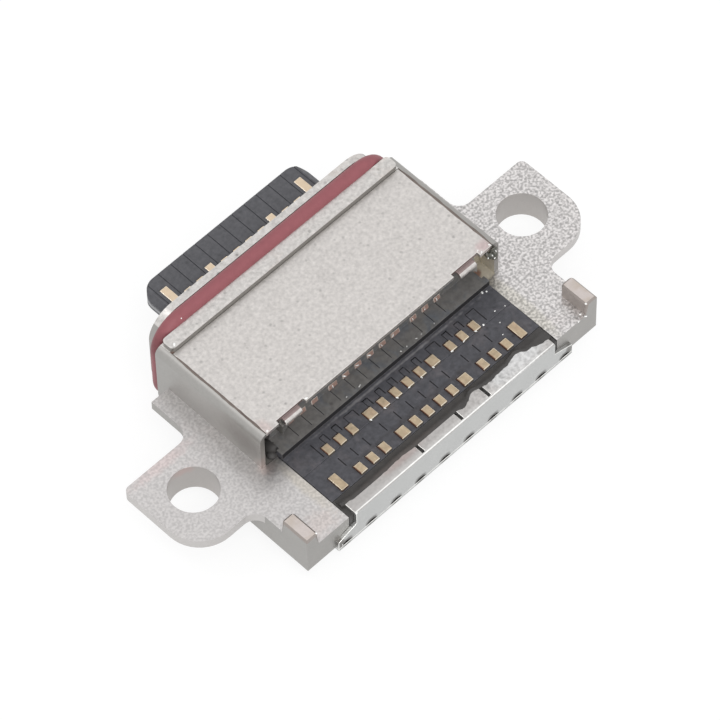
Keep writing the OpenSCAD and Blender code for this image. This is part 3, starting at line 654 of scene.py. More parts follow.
finishes = {
    # Cast skin on the bracket's tops; its relief share is painted light and shade, with painted sparkle
    "peeled": makeFinish("peeledSteel", (200, 197, 196), 0.9, 0.34, grain=(11, 0.08, 0.5), bump=(0.3, 0.004),
        tint=((208, 198, 196), 0.5, 0.42, 0.3), edge=(228, 226, 222), wear=0.6, relief=(0.12, 0.34),
        spots=(((222, 196, 194), 0.35, (6.8, -1.28, 0), (1.6, 0.3, 0.4), 0.8, 0.9),
        ((214, 192, 186), 0.4, (4.75, 0.98, 0), (0.4, 0.35, 0.4), 0.8, 0.6),
        ((204, 196, 182), 0.5, (4.42, 2.2, 0), (0.3, 1.7, 0.4), 0.8, 0.6),
        ((190, 186, 176), 0.6, (-4.42, 2.2, 0), (0.34, 2.0, 0.4), 0.5, 0.4),
        ((208, 192, 186), 0.35, (5.0, 3.4, 0), (0.8, 0.6, 0.4), 0.8, 1.0))),
    # Painted shade: the bracket's steel with a darker colour for faces turned aside, which take less light than the
    # tops; it is smoother too. Its first spot darkens the +X flank towards its rear end
    "smooth": makeFinish("smoothShadedSteel", (166, 164, 161), 0.9, 0.44, grain=(12, 0.08, 0.3), bump=(0.15, 0.002),
        edge=(196, 194, 190), wear=0.4,
        spots=(((130, 126, 122), 0.7, (4.87, 0.2, 0.7), (0.3, 1.3, 0.9), 0.9, 0.4),
        ((188, 174, 168), 0.5, (4.87, 0.9, 0.1), (0.3, 0.4, 0.5), 0.8, 0.6))),
    "lip": makeFinish("lipSteel", (207, 204, 201), 0.9, 0.4, grain=(8, 0.4, 0.9), bump=(0.6, 0.007),
        tint=((206, 192, 182), 0.8, 0.45, 0.5), edge=(236, 228, 214), wear=0.8,
        # its spot is a painted shadow in the notch at the lip's +X end
        spots=(((120, 95, 85), 0.9, (4.62, -3.02, 1.55), (0.16, 0.16, 0.2), 0.5, 0.5),)),
    # Painted shade: a darker copy of the lip's steel for the nose's step face turned to the rear
    "lipStep": makeFinish("lipStepSteel", (152, 149, 145), 0.9, 0.45, grain=(12, 0.08, 0.4)),
    # Heat-tinted steel inside the rear pockets; its brown first spot is a stain, while the other two spots are
    # painted shade: darker high up under the cover in both pockets, and over the +X pocket
    "heatTintShade": makeFinish("heatTintShadeSteel", (208, 201, 186), 0.35, 0.5, grain=(9, 0.16, 0.5), bump=(0.3, 0.004),
        spots=(((150, 112, 98), 0.9, (-4.3, 0.5, 0), (0.26, 0.22, 0.3), 0.7, 0.8),
        ((112, 106, 98), 0.8, (0, 0.3, 1.1), (6, 0.5, 0.6), 0.5, 0.5),
        ((104, 102, 100), 0.92, (4.3, 0.6, 0.5), (0.8, 0.9, 1.8), 0.3, 0.3))),
    "pegTop": makeFinish("pegTopSteel", (205, 196, 192), 0.85, 0.42, grain=(9, 0.08, 0.5), bump=(0.3, 0.004),
        tint=((182, 168, 150), 0.6, 0.55, 0.7)),
    # Painted shade: a darker copy of the pegs' steel for their sides; its edge colour makes the pegs' rounded edges
    # dark
    "pegSide": makeFinish("pegSideSteel", (160, 152, 147), 0.85, 0.42, grain=(12, 0.1, 0.5), edge=(110, 84, 80),
        wear=1.1),
    "bore": makeFinish("boreSteel", (184, 180, 177), 0.9, 0.42, grain=(14, 0.04, 0.3), edge=(226, 222, 216),
        spots=(((196, 168, 164), 0.5, (6.5, -0.7, -0.1), (0.6, 0.3, 0.3), 0.8, 0.8),)),
    # Painted light: a lighter copy of the steel for the ears' side faces
    "earSide": makeFinish("earSideSteel", (198, 195, 193), 0.9, 0.42, grain=(12, 0.06, 0.3)),
    "cover": makeFinish("blastedSteel", (207, 203, 200), 0.85, 0.42, grain=(9, 0.3, 0.8), bump=(0.35, 0.005),
        edge=(232, 230, 226), wear=0.5,
        spots=(((196, 176, 172), 0.5, (4.5, 0.7, 1.53), (0.3, 0.5, 0.4), 0.8, 0.6),
        ((196, 170, 170), 0.6, (-4.4, 0.7, 1.53), (0.4, 0.3, 0.4), 0.8, 0.6))),
    # Painted shade: a dark brownish copy of the cover's steel for the flat of each folded tab, in the shade of the
    # cover's step
    "tabFlat": makeFinish("tabShadeSteel", (150, 134, 132), 0.8, 0.45, grain=(9, 0.15, 0.5)),
    "braze": makeFinish("brazeLine", (118, 108, 102), 0.5, 0.5, grain=(6, 0.2, 0.5),
        tint=((86, 76, 72), 0.9, 0.5, 0.8)),
    # its relief share is painted light and shade on the crumpled flange
    "flange": makeFinish("flangeSteel", (182, 179, 177), 0.9, 0.36, grain=(10, 0.14, 0.6), bump=(0.4, 0.004),
        relief=(0.22, 0.1), edge=(240, 238, 234),
        spots=(((172, 156, 152), 0.7, (1.9, 3.56, 0.1), (1.3, 0.2, 0.3), 0.9, 0.6),
        ((206, 206, 206), 0.8, (-2.8, 3.6, 0.1), (1.3, 0.5, 0.3), 0.4, 0.3),
        ((206, 204, 202), 0.6, (0, 3.84, 0.1), (6, 0.12, 0.3), 0.8, 0.2),
        # the last spot is a painted highlight: a thin white line along the fold
        ((255, 255, 253), 0.9, (0, 3.895, 0.09), (9, 0.03, 0.06), 0.7, 0.5))),
    "shield": makeFinish("shieldSteel", (192, 193, 192), 0.9, 0.38, grain=(12, 0.03, 0.4), bump=(0.15, 0.002),
        tint=((196, 184, 180), 0.35, 0.4, 0.4), edge=(244, 243, 240), pitch=1.0,
        # the first spot, repeated every millimetre by the pitch, is painted shade around each scallop
        spots=(((78, 75, 72), 0.85, (0.5, 3.96, -0.93), (0.27, 0.3, 0.24), 0.6, 0.5),
        ((104, 100, 96), 0.8, (4.72, 3.96, -0.8), (0.2, 0.4, 0.36), 0.7, 1.4),
        ((104, 100, 96), 0.7, (-4.72, 3.96, -0.8), (0.2, 0.4, 0.36), 0.7, 1.4))),
    # Painted shade: a dark colour for the walls of the scallops in the rear wall's lower edge
    "scallop": makeFinish("scallopShadeSteel", (74, 72, 70), 0.7, 0.45, grain=(12, 0.1, 0.5)),
    "inner": makeFinish("innerSteel", (150, 150, 152), 0.9, 0.4, grain=(14, 0.05, 0.5)),
    "tongue": makeFinish("tonguePlastic", (91, 91, 95), 0.0, 0.52, grain=(6.5, 0.4, 0.5), bump=(0.3, 0.005),
        edge=(112, 113, 116), wear=0.8, specular=0.35),
    "plastic": makeFinish("darkMoulding", (77, 77, 82), 0.0, 0.5, grain=(6.5, 0.5, 0.7), bump=(0.35, 0.005),
        tint=((96, 92, 95), 1.6, 0.5, 0.7), edge=(104, 105, 110), wear=0.7, specular=0.35,
        # the first spot is a painted highlight: a light band behind the step, where a rounded edge catches the light
        spots=(((128, 126, 128), 0.7, (0, 1.21, 0.05), (4.4, 0.06, 0.1), 0.7, 1.6),
        ((58, 56, 58), 0.5, (0, 2.62, 0), (4.0, 0.12, 0.2), 0.8, 1.0))),
    # Painted light: the moulding's step under the cover's rear edge is much lighter than the rest of the moulding, to
    # make up for the shade of the cover
    "step": makeFinish("stepPlastic", (114, 112, 110), 0.0, 0.5, grain=(6.5, 0.42, 0.7), bump=(0.35, 0.005),
        tint=((96, 102, 110), 1.5, 0.5, 0.7), edge=(120, 119, 118), wear=0.6, specular=0.35),
    # Painted shade: dark walls for the cut slots before the solder tails and for the step's rear wall
    "seam": makeFinish("slotShadePlastic", (46, 45, 47), 0.0, 0.6, grain=(8, 0.1, 0.3), specular=0.25),
    # Painted shade: darker walls for the grooves in the tongue
    "groove": makeFinish("grooveShadePlastic", (70, 70, 74), 0.0, 0.6, grain=(8, 0.3, 0.3), specular=0.25),
    "gold": makeFinish("contactGold", (222, 202, 176), 0.85, 0.36, grain=(10, 0.1, 0.5), bump=(0.3, 0.003),
        edge=(248, 240, 228), wear=0.7),
    # Painted shade: a dark brown copy of the contacts' metal for their flanks and for edges turned to the front or to
    # +X
    "goldShade": makeFinish("contactFlankShade", (118, 88, 72), 0.7, 0.42, grain=(10, 0.15, 0.5)),
    # its edge colour is left only on edges turned to the rear, a painted highlight
    "tail": makeFinish("tailGold", (186, 168, 142), 0.85, 0.32, grain=(7, 0.35, 0.6), bump=(0.4, 0.005),
        tint=((180, 152, 130), 1.6, 0.45, 0.7), edge=(244, 236, 220), wear=0.7),
    # Painted light: the copper where a contact leaves the moulding is lighter and less metallic, to make up for the
    # shade under the cover's edge
    "copper": makeFinish("copperTail", (190, 158, 146), 0.4, 0.34, grain=(9, 0.2, 0.5), edge=(250, 238, 228)),
    "resin": makeFinish("pottingResin", (70, 68, 67), 0.0, 0.5, grain=(4, 0.25, 0.3), bump=(0.3, 0.006),
        specular=0.35, spots=(((92, 84, 80), 0.6, (1.8, 3.45, 0), (3.0, 0.14, 0.3), 0.9, 0.6),)),
    "rubber": makeFinish("sealRubber", (150, 88, 94), 0.0, 0.46, grain=(5, 0.1, 0.3), bump=(0.1, 0.004),
        specular=0.35, tint=((132, 76, 82), 0.7, 0.45, 0.6),
        spots=(((116, 66, 70), 0.7, (4.5, -3.73, 1.2), (0.7, 0.6, 0.7), 0.8, 0.3),)),
    "flux": makeFinish("burntFlux", (98, 98, 92), 0.4, 0.38, grain=(8, 0.2, 0.4), bump=(0.2, 0.003),
        tint=((128, 112, 100), 3.0, 0.45, 0.7)),
    # Painted highlight: the near-white glossy finish of the beads that stand where highlights shine
    "glint": makeFinish("paintedHighlightBead", (252, 252, 250), 0.2, 0.14, grain=(8, 0.02, 0.1), bump=(0.1, 0.002)),
}
print("finishes made")

# A face counts as level above this share of straight up, and lies at a height within this much
flatFace = {"share": 0.999, "within": 0.02}


def isFlatAt(face, height):
    return face.normal.z > flatFace["share"] and abs(face.calc_center_median().z - height) < flatFace["within"]


# Shares of a normal that count as facing a way fully, mostly, partly or half
turned = {"fully": 0.95, "mostly": 0.7, "partly": 0.6, "half": 0.5}

ridges = {"steep": 3.4, "scale": 0.62}


# Sharp ridges between round hollows, from -1 to 1
def ridgeAt(place, bend):
    return max(1 - ridges["steep"] * abs(noise.noise(place * ridges["scale"] + bend)), -1)


# A share that isn't below the least one
def liftedShare(least, share):
    return least + (1 - least) * share


def inside(centre, zone):
    place = (abs(centre.x), centre.y, centre.z)
    return all(low < value < high for value, (low, high) in zip(place, zone))


castSkin = {"spacing": 0.036, "height": 0.006, "wave": 0.075,
            # beyond this X the ridges are long, lie slantwise and are lower
            "slantFrom": 2, "slantShare": 0.4, "slant": 0.7, "stretch": 0.5,
            "ridgeShare": 0.8, "bend": 0.7, "bendScale": 0.5, "bendShift": (9, 4, 2),
            "lumpScale": 1.4, "lumpShare": 0.35,
            # the side strips are nearly smooth beside the housing
            "stripFromY": 0.9, "smoothTo": 4.4, "roughFrom": 4.75, "smoothShare": 0.2}


def castRise(x, y):
    skin = castSkin
    if x < skin["slantFrom"]:
        place, share = Vector((x, y, 0)) / skin["wave"], 1.0
    else:
        along, aside = (x + y) * skin["slant"], (x - y) * skin["slant"]
        place, share = Vector((along * skin["stretch"], aside, 3)) / skin["wave"], skin["slantShare"]
    slow = place * skin["bendScale"]
    aslant = noise.noise(slow + Vector(skin["bendShift"]))
    bend = Vector((noise.noise(slow), aslant, 0)) * skin["bend"]
    lump = skin["lumpShare"] * noise.noise(place * skin["lumpScale"])
    rise = ridgeAt(place, bend) * skin["ridgeShare"] + lump
    beside = blendIn(abs(x), skin["smoothTo"], skin["roughFrom"]) if y > skin["stripFromY"] else 1
    return rise * share * liftedShare(skin["smoothShare"], beside)


bracketOrder = ("peeled", "smooth", "lip", "lipStep", "heatTintShade", "pegTop", "pegSide", "bore", "earSide")
bracketZones = {"pegX": 5.4, "pegY": 2.75, "pegFoot": 0.02, "pegTop": 0.5, "boreX": 6.75, "boreReach": 0.82,
                "pocket": ((3.9, 4.72), (0.15, 0.93), (-0.05, 1.37)), "noseY": -3.0, "stepZ": 1.3, "roofZ": 1.5,
                "roofX": 4.6, "seatWithin": 0.06, "earX": 5.96, "earY": 2.7}


# The number of a face's finish in the order above, by where the face lies and how it is turned; faces turned aside
# take the darker copies of the steel, painted shade, and the ears' sides the lighter one, painted light
def bracketFinish(centre, normal):
    zones = bracketZones
    x, y, z = abs(centre.x), centre.y, centre.z
    if x > zones["pegX"] and y > zones["pegY"] and z > zones["pegFoot"]:
        return 5 if normal.z > turned["fully"] and z > zones["pegTop"] else 6
    if math.hypot(x - zones["boreX"], y) < zones["boreReach"] and abs(normal.z) < turned["fully"]:
        return 7
    if inside(centre, zones["pocket"]):
        return 4
    if y < zones["noseY"] and normal.y > turned["mostly"] and z > zones["stepZ"]:
        return 3
    if normal.z > turned["partly"] and (y < zones["noseY"] or (z > zones["roofZ"] and x < zones["roofX"])):
        return 2
    if normal.z > turned["mostly"] and abs(z) < zones["seatWithin"]:
        return 0
    return 8 if x > zones["earX"] and y < zones["earY"] else 1


def finishesOf(*names):
    return [finishes[name] for name in names]


pegs = {"fromX": 5.3, "fromY": 2.7, "fromZ": -0.01, "leastHeight": 0.3, "upright": 0.001, "radius": 0.11,
        "segments": 4}


# The pegs' upright edges are round, apart from the ones that run on down the arms
def roundPegs(made):
    upright = []
    for edge in made.edges:
        a, b = (v.co for v in edge.verts)
        wide, deep, low = min(abs(a.x), abs(b.x)), min(a.y, b.y), min(a.z, b.z)
        inPeg = wide > pegs["fromX"] and deep > pegs["fromY"] and low > pegs["fromZ"]
        if inPeg and (a - b).xy.length < pegs["upright"] and abs(a.z - b.z) > pegs["leastHeight"]:
            upright.append(edge)
    bmesh.ops.bevel(made, geom=upright, offset=pegs["radius"], segments=pegs["segments"], profile=0.5, affect="EDGES")


def roughenBracket(obj):
    roughenSkin(obj, lambda face: isFlatAt(face, 0), castRise, castSkin["spacing"], castSkin["height"])


dress("bracket", "bracketCasting", "moulded_steel", finishesOf(*bracketOrder), width=0.025,
      choose=bracketFinish, rework=roundPegs, relief=roughenBracket)
print("bracket dressed")


def boxOf(node):
    return [Vector(corner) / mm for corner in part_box(node)]


seal = {"Corner": 0.88, "Crown": 0.23, "Base": 0.13, "Ripple": 0.012}


def makeSeal():
    low, high = boxOf("seal_ring")
    middle = (low + high) / 2
    halfX, halfZ = (high.x - low.x) / 2 - seal["Crown"], (high.z - low.z) / 2 - seal["Crown"]
    made = dropMesh(None, "sealRingRubber")
    grow(made, sealTree, {"Half Width": halfX, "Half Height": halfZ, **seal, "Material": finishes["rubber"]})
    made.data.transform(Matrix.Translation(middle) @ Matrix.Rotation(math.radians(90), 4, "X"))
    return hand(made, "seal_rubber", "seal_ring")


makeSeal()

# The flat part of each folded tab, as its reach in X, Y and Z; it takes the tab's painted shade
coverTab = ((3.2, 3.92), (0.7, 0.86), (1.2, 1.505))
dress("cover", "coverSheet", "cover_steel", finishesOf("cover", "tabFlat"), width=0.02,
      choose=lambda centre, normal: int(inside(centre, coverTab)))

braze = {"halfWidth": 0.04, "height": 0.016, "steps": 90, "ragged": 0.35, "shift": 0.01, "taper": 8, "least": 0.2,
         "beside": 0.01, "front": 0.02, "back": 0.84, "wobbleX": 3, "wobbleY": 4, "shiftY": 2.5,
         "section": ((-1, -0.25), (-0.6, 0.7), (0, 1), (0.6, 0.7), (1, -0.25))}


# Joins rows of points into a closed tube with flat ends, and hands it in
def closeTube(made, rows, name, finish, slotName, angle):
    count = len(rows[0])
    for near, far in zip(rows, rows[1:]):
        for k in range(count):
            made.faces.new((near[k], far[k], far[(k + 1) % count], near[(k + 1) % count]))
    made.faces.new(rows[0])
    made.faces.new(rows[-1][::-1])
    bmesh.ops.recalc_face_normals(made, faces=made.faces)
    obj = dropMesh(made, name)
    obj.data.materials.append(finishes[finish])
    smoothShade(obj, angle)
    return hand(obj, slotName)


# The low uneven bead of braze between the cover and the body's shoulder, along Y
def makeBrazeLine(name, side):
    low, high = boxOf("cover")
    x, y0, y1, z = side * (high.x + braze["beside"]), low.y + braze["front"], braze["back"], high.z
    made = bmesh.new()
    rows = []
    for step in range(braze["steps"] + 1):
        share = step / braze["steps"]
        y = y0 + (y1 - y0) * share
        wobble = noise.noise(Vector((x * braze["wobbleX"], y * braze["wobbleY"], 1)))
        ends = braze["taper"] * min(share, 1 - share) + braze["least"]
        wide = braze["halfWidth"] * (1 + braze["ragged"] * wobble) * min(1, ends)
        shift = x + braze["shift"] * noise.noise(Vector((x, y * braze["shiftY"], 5)))
        rows.append([made.verts.new((shift + wide * a, y, z + braze["height"] * b)) for a, b in braze["section"]])
    return closeTube(made, rows, name, "braze", "cover_steel", angle=42)


for name, side in (("brazeLineLeft", 1), ("brazeLineRight", -1)):
    makeBrazeLine(name, side)
print("seal, cover and braze lines made")

flange = {"front": 3.46, "fold": 3.84, "top": 0.1, "low": -0.04, "spacing": 0.04, "height": 0.006, "wave": 0.11,
          # it is smooth at +X and crumpled at -X, and its skin starts beside the resin
          "smoothTo": 0.5, "roughFrom": 1.6, "smoothShare": 0.12, "skinFrom": (3.4, 3.5), "wobble": 0.025,
          "wobbleScale": 6,
          # where the resin has crept over the flange's front edge, as X and Y
          "edge": ((-4.2, 3.64), (-3.89, 3.64), (-3.37, 3.46), (-3.07, 3.29), (-2.49, 3.40), (-1.76, 3.43),
                   (-1.18, 3.32), (-0.68, 3.58), (-0.32, 3.48), (0.24, 3.47), (1.21, 3.46), (1.86, 3.42),
                   (2.7, 3.46), (3.47, 3.49), (4.2, 3.40))}


def flangeEdge(x):
    for (x0, y0), (x1, y1) in zip(flange["edge"], flange["edge"][1:]):
        if x0 <= x <= x1:
            wobble = noise.noise(Vector((x * flange["wobbleScale"], 0, 0)))
            return y0 + (y1 - y0) * blendIn(x, x0, x1) + flange["wobble"] * wobble
    return flange["front"]


def flangeRise(x, y):
    rise = ridgeAt(Vector((x, y, 0)) / flange["wave"], Vector())
    share = liftedShare(flange["smoothShare"], blendIn(-x, flange["smoothTo"], flange["roughFrom"]))
    return rise * share * blendIn(y, *flange["skinFrom"])


def onFlange(place):
    return place.y < flange["fold"] and place.z > flange["low"]


# Roughens the flange and draws its front edge forward to meet the resin
def shapeFlange(obj):
    made = bmesh.new()
    made.from_mesh(obj.data)
    gridCut(made, [face for face in made.faces if all(onFlange(v.co) for v in face.verts)], 0, flange["spacing"])
    made.to_mesh(obj.data)
    made.free()
    roughenSkin(obj, lambda face: isFlatAt(face, flange["top"]), flangeRise, flange["spacing"], flange["height"])
    for point in obj.data.vertices:
        if onFlange(point.co):
            share = blendIn(flange["fold"] - point.co.y, 0, flange["fold"] - flange["front"])
            point.co.y += share * (min(flangeEdge(point.co.x), flange["front"]) - flange["front"])


creep = {"front": 3.13, "past": 0.035, "ragged": 0.012, "raggedScale": 14, "leastLap": 0.085, "step": 0.03,
         # the climb from the tail block to the flange, as shares of the way and heights
         "climb": ((0, -0.012), (0.35, 0.015), (0.7, 0.06)), "bottom": -0.015,
         # the heights above the flange before its edge, before the sheet's own edge and at that edge
         "crest": (-0.03, 0.018), "rim": (-0.025, 0.016), "end": (0, -0.004)}


# The resin's thin edge that has crept over the flange, as one low domed sheet
def makeCreep():
    made = bmesh.new()
    rows = []
    front, top = creep["front"], flange["top"]
    x = flange["edge"][0][0]
    while x <= flange["edge"][-1][0] + 0.001:
        metal = min(flangeEdge(x), flange["front"])
        wobble = noise.noise(Vector((x * creep["raggedScale"], 3, 0)))
        back = max(flangeEdge(x) + creep["past"] + creep["ragged"] * wobble, metal + creep["leastLap"])
        section = [(front + share * (metal - front), z) for share, z in creep["climb"]]
        for y, part in ((metal, "crest"), (back, "rim"), (back, "end")):
            section.append((y + creep[part][0], top + creep[part][1]))
        section += [(back, creep["bottom"]), (front, creep["bottom"])]
        rows.append([made.verts.new((x, y, z)) for y, z in section])
        x += creep["step"]
    return closeTube(made, rows, "resinCreep", "resin", "resin", angle=60)


makeCreep()

shieldZones = {"flangeZ": 0.05, "scallopZ": -0.85, "scallopX": 4.75, "scallopTurn": 0.12}


# Flange tops, the wall, and the scallops' walls, which take the painted shade of the scallop finish
def shieldFinish(centre, normal):
    zones = shieldZones
    if normal.z > turned["partly"] and centre.z > zones["flangeZ"]:
        return 0
    scalloped = centre.z < zones["scallopZ"] and abs(centre.x) < zones["scallopX"]
    return 2 if scalloped and abs(normal.x) > zones["scallopTurn"] else 1


dress("rear_shield", "rearShieldSheet", "shield_steel", finishesOf("flange", "shield", "scallop"), width=0.018,
      choose=shieldFinish, relief=shapeFlange)
dress("bottom_shield", "bottomShieldSheet", "shield_steel", finishesOf("shield"), width=0.02)
print("shields made")

tailFrom = {"y": 1.5, "z": 0.05}


# The open end of a contact, where it stands free behind the cover
def tailSpan(name):
    points = [v.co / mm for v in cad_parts[name].data.vertices]
    tail = [p for p in points if p.z > tailFrom["z"] and p.y > tailFrom["y"]]
    return [pick(p[axis] for p in tail) for axis in (0, 1) for pick in (min, max)]


def tailsOf(row):
    return sorted((tailSpan(f"{row}_contact_{number}") for number in range(1, 13)), reverse=True)


slots = {
    "bar": 0.034, "fineBar": 0.02, "depth": 0.05,
    # the strong line stands beside the next tail, the fine one in front of the last
    "strongGap": 0.075, "fineGap": 0.035,
    "rowOne": (1.335, 1.62), "rowOneEnds": (3.36, -3.325), "endsBack": 1.9,
    "rowTwo": (2.2, 2.55), "fineShort": 0.03, "stepShift": 0.1, "step": (0.5, 0.97), "stepLevel": 0.27,
}


# The fine outlines in the moulding in front of the solder tails, as bars to cut away
def slotBars(row, level):
    bars = []
    half, fine = slots["bar"] / 2, slots["fineBar"] / 2

    def addBar(x0, x1, y0, y1, at=level):
        bars.append((((x0 + x1) / 2, (y0 + y1) / 2, at), (x1 - x0, y1 - y0, slots["depth"])))

    tails = tailsOf(row)
    strong = [right + slots["strongGap"] for left, right, front, back in tails]
    if row == "lower":
        for x in strong:
            addBar(x - half, x + half, *slots["rowTwo"])
        return bars
    front, back = slots["rowOne"]
    strong = [slots["rowOneEnds"][0]] + strong[1:] + [slots["rowOneEnds"][1]]
    faint = [None] + [left + slots["fineGap"] for left, right, y0, y1 in tails]
    for number, (x, beside) in enumerate(zip(strong, faint)):
        end = slots["endsBack"] if number in (0, len(tails)) else back
        addBar(x - half, x + half, front, end)
        if beside:
            addBar(beside - fine, beside + fine, front, back - slots["fineShort"])
            addBar(x, beside, front - half, front + half)
        if number < len(tails):
            onStep = x + slots["stepShift"]
            addBar(onStep - fine, onStep + fine, *slots["step"], slots["stepLevel"])
    return bars


# The slots take the seam finish, painted shade on their walls
def slotCutter(row, level):
    return grow(pointsWithSizes(row + "Bars", slotBars(row, level)), barTree, {"Material": finishes["seam"]})


grooves = {"Count": 13, "Pitch": 0.5, "Width": 0.028, "Length": 2.1, "Height": 0.04, "Middle Y": -4.95}
grooveLevels = {"upperGrooves": 0.45, "lowerGrooves": -0.25}


# The tongue's grooves take the groove finish, painted shade on their walls
def tongueCutter(name):
    return grow(dropMesh(None, name), grooveTree,
                {**grooves, "Level": grooveLevels[name], "Material": finishes["groove"]})


housing = {"tongueBack": -1, "stepBack": 1.12, "stepFoot": -0.1, "seamY": (1.0, 1.2), "seamZ": (0.04, 0.3),
           "rowOneLevel": 0.05, "rowTwoLevel": 0.02, "division": 0.4, "upward": 0.99}


# The step's rear wall takes the seam finish, painted shade, and the step takes the step finish, painted light
def housingFinish(centre, normal):
    y, z = centre.y, centre.z
    if y < housing["tongueBack"]:
        return 1
    (y0, y1), (z0, z1) = housing["seamY"], housing["seamZ"]
    if normal.y > turned["mostly"] and y0 < y < y1 and z0 < z < z1:
        return 3
    return 2 if y < housing["stepBack"] and z > housing["stepFoot"] else 0


# Divides the upper faces of a moulding, so that the cuts leave small faces
def divideTop(obj):
    roughenSkin(obj, lambda face: face.normal.z > housing["upward"], lambda x, y: 0.0, housing["division"], 0.0)


dress("tongue_moulding", "tongueHousing", "moulding", finishesOf("plastic", "tongue", "step", "seam"), width=0.018,
      choose=housingFinish, relief=divideTop,
      cutters=(*map(tongueCutter, grooveLevels), slotCutter("upper", housing["rowOneLevel"])))
dress("tail_block", "tailHousing", "moulding", finishesOf("plastic", "seam"), width=0.008, relief=divideTop,
      cutters=(slotCutter("lower", housing["rowTwoLevel"]),))
print("housings made")

contacts = {"exitY": 0, "tailY": 1, "plateTailY": 1.5, "upright": 0.35, "facingBack": 0.5, "facingFront": -0.3,
            "facingAside": 0.4}


# The mid plate's tails: tinned tops, and goldShade, painted shade, on their sides
def midPlateFinish(centre, normal):
    if centre.y < contacts["plateTailY"]:
        return 0
    return 1 if normal.z > turned["half"] else 2


# Gold on the tongue, copper where a contact leaves the moulding, and tinned gold on the tails, with goldShade,
# painted shade, on flanks and on edges turned to the front or to +X
def contactFinish(centre, normal):
    if centre.y < contacts["exitY"]:
        return 0 if abs(normal.z) > turned["half"] else 1
    if centre.y < contacts["tailY"]:
        return 3
    if normal.z < contacts["upright"] and normal.y < contacts["facingBack"]:
        return 1
    return 1 if normal.y < contacts["facingFront"] or normal.x > contacts["facingAside"] else 2


dress("mid_plate", "midPlateSteel", "inner_steel", finishesOf("inner", "tail", "goldShade"), width=0.015,
      choose=midPlateFinish)
for row in ("upper", "lower"):
    dress(f"{row}_earth_plate", f"{row}EarthSteel", "inner_steel", finishesOf("inner"), width=0.015)
dress("potting", "pottingResin", "resin", finishesOf("resin"), width=0.01)
for row in ("upper", "lower"):
    for number in range(1, 13):
        dress(f"{row}_contact_{number}", f"{row}Contact{number}", "contact_gold",
              finishesOf("gold", "goldShade", "tail", "copper"), width=0.026, choose=contactFinish)
print("plates, resin and contacts made")

# These beads have colours of their own and aren't painted highlights
beadFinish = {"cornerFlux": "flux", "pocketResin": "resin"}
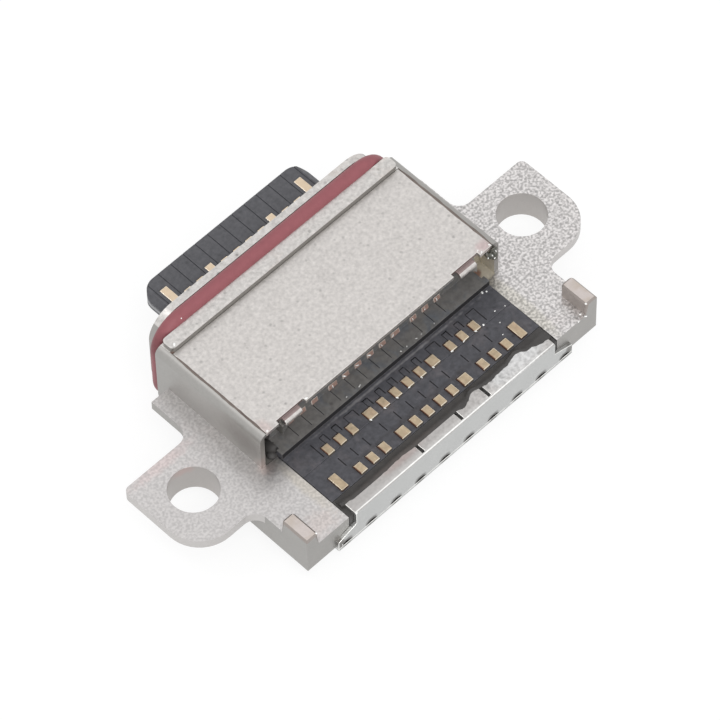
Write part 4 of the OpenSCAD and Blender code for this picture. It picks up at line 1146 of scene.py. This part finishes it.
# Beads by piece: the slot, and the place and radii of each bead; the others are painted highlights, white glossy
# lumps where highlights shine
glints = {
    "coverGlints": ("cover_steel", (
        (4.52, 0.80, 1.53, 0.05, 0.035, 0.012), (2.95, 0.80, 1.53, 0.05, 0.03, 0.012),
        (-4.55, 0.80, 1.53, 0.05, 0.03, 0.012), (-4.2, 0.82, 1.53, 0.06, 0.02, 0.012),
        (-4.16, 0.70, 1.53, 0.04, 0.02, 0.012))),
    "lipGlint": ("moulded_steel", ((4.43, -3.12, 1.73, 0.07, 0.04, 0.012),)),
    "sealGlints": ("seal_rubber", (
        (3.71, -3.60, 1.87, 0.07, 0.025, 0.02), (3.98, -3.62, 1.84, 0.03, 0.02, 0.015),
        (3.5, -3.58, 1.88, 0.04, 0.015, 0.012))),
    "housingGlints": ("moulding", (
        (-3.91, 1.13, 0.06, 0.06, 0.035, 0.02), (-4.03, 1.2, 0.05, 0.03, 0.03, 0.015),
        (-4.05, 1.94, 0.05, 0.02, 0.02, 0.01), (-3.71, 1.86, 0.05, 0.025, 0.02, 0.01),
        (-3.13, 1.96, 0.05, 0.035, 0.035, 0.02), (-3.54, 2.23, 0.02, 0.02, 0.02, 0.01),
        (-3.3, 2.59, 0.02, 0.02, 0.02, 0.01), (-3.71, 3.35, 0.0, 0.035, 0.03, 0.015))),
    "exitGlints": ("contact_gold", tuple(
        (x, 0.49, 0.37, 0.06, 0.02, 0.03) for x in (-2.66, -2.17, -1.67, -0.86, -0.38, 0.12, 0.61, 1.14, 1.62))),
    "stepGlints": ("moulding", tuple(
        (x, 1.0, 0.27, length, 0.012, 0.01) for x, length in (
            (1.02, 0.07), (1.55, 0.03), (-0.68, 0.03), (-0.92, 0.03), (-1.3, 0.05), (-1.52, 0.03), (-2.05, 0.03)))),
    "cornerFlux": ("moulded_steel", (
        (-4.62, 0.9, 1.3, 0.13, 0.05, 0.16), (-4.66, 0.9, 1.02, 0.1, 0.06, 0.14),
        (-4.5, 0.87, 1.08, 0.12, 0.06, 0.12), (-4.4, 0.82, 1.24, 0.12, 0.07, 0.12),
        (-4.68, 0.9, 0.82, 0.08, 0.05, 0.1), (-4.28, 0.74, 1.36, 0.14, 0.07, 0.09))),
    "cornerSparks": ("moulded_steel", (
        (-4.52, 0.95, 1.16, 0.035, 0.02, 0.03), (-4.64, 0.97, 1.3, 0.05, 0.015, 0.02),
        (-4.4, 0.9, 1.1, 0.03, 0.02, 0.03), (-4.6, 0.97, 0.96, 0.03, 0.015, 0.03))),
    "pocketResin": ("resin", (
        (4.18, 0.52, 0.06, 0.26, 0.34, 0.2), (4.32, 0.76, 0.0, 0.16, 0.2, 0.1))),
    "pegGlints": ("moulded_steel", (
        (5.53, 3.79, 0.53, 0.035, 0.03, 0.015), (-5.53, 3.79, 0.53, 0.035, 0.03, 0.015),
        (-5.47, 3.855, 0, 0.05, 0.025, 0.015), (-5.41, 3.69, 0, 0.045, 0.03, 0.015),
        (-5.19, 3.84, 0, 0.04, 0.02, 0.015))),
    "shieldGlints": ("shield_steel", (
        (4.05, 3.93, 0.09, 0.04, 0.03, 0.02), (4.68, 3.95, -0.9, 0.03, 0.02, 0.03),
        (4.8, 3.94, -1.05, 0.035, 0.02, 0.03))),
}
# Painted highlights at the rear +X corner of the upper solder tails, after the first three
glints["tailGlints"] = ("contact_gold", tuple(
    (right - 0.035, back - 0.005, 0.085, 0.05, 0.02, 0.03) for left, right, front, back in tailsOf("upper")[3:]))
for number, (name, (slotName, rows)) in enumerate(glints.items()):
    points = pointsWithSizes(name, [(row[:3], row[3:]) for row in rows])
    grow(points, beadTree, {"Seed": number, "Material": finishes[beadFinish.get(name, "glint")]})
    hand(points, slotName)
print("glints made")
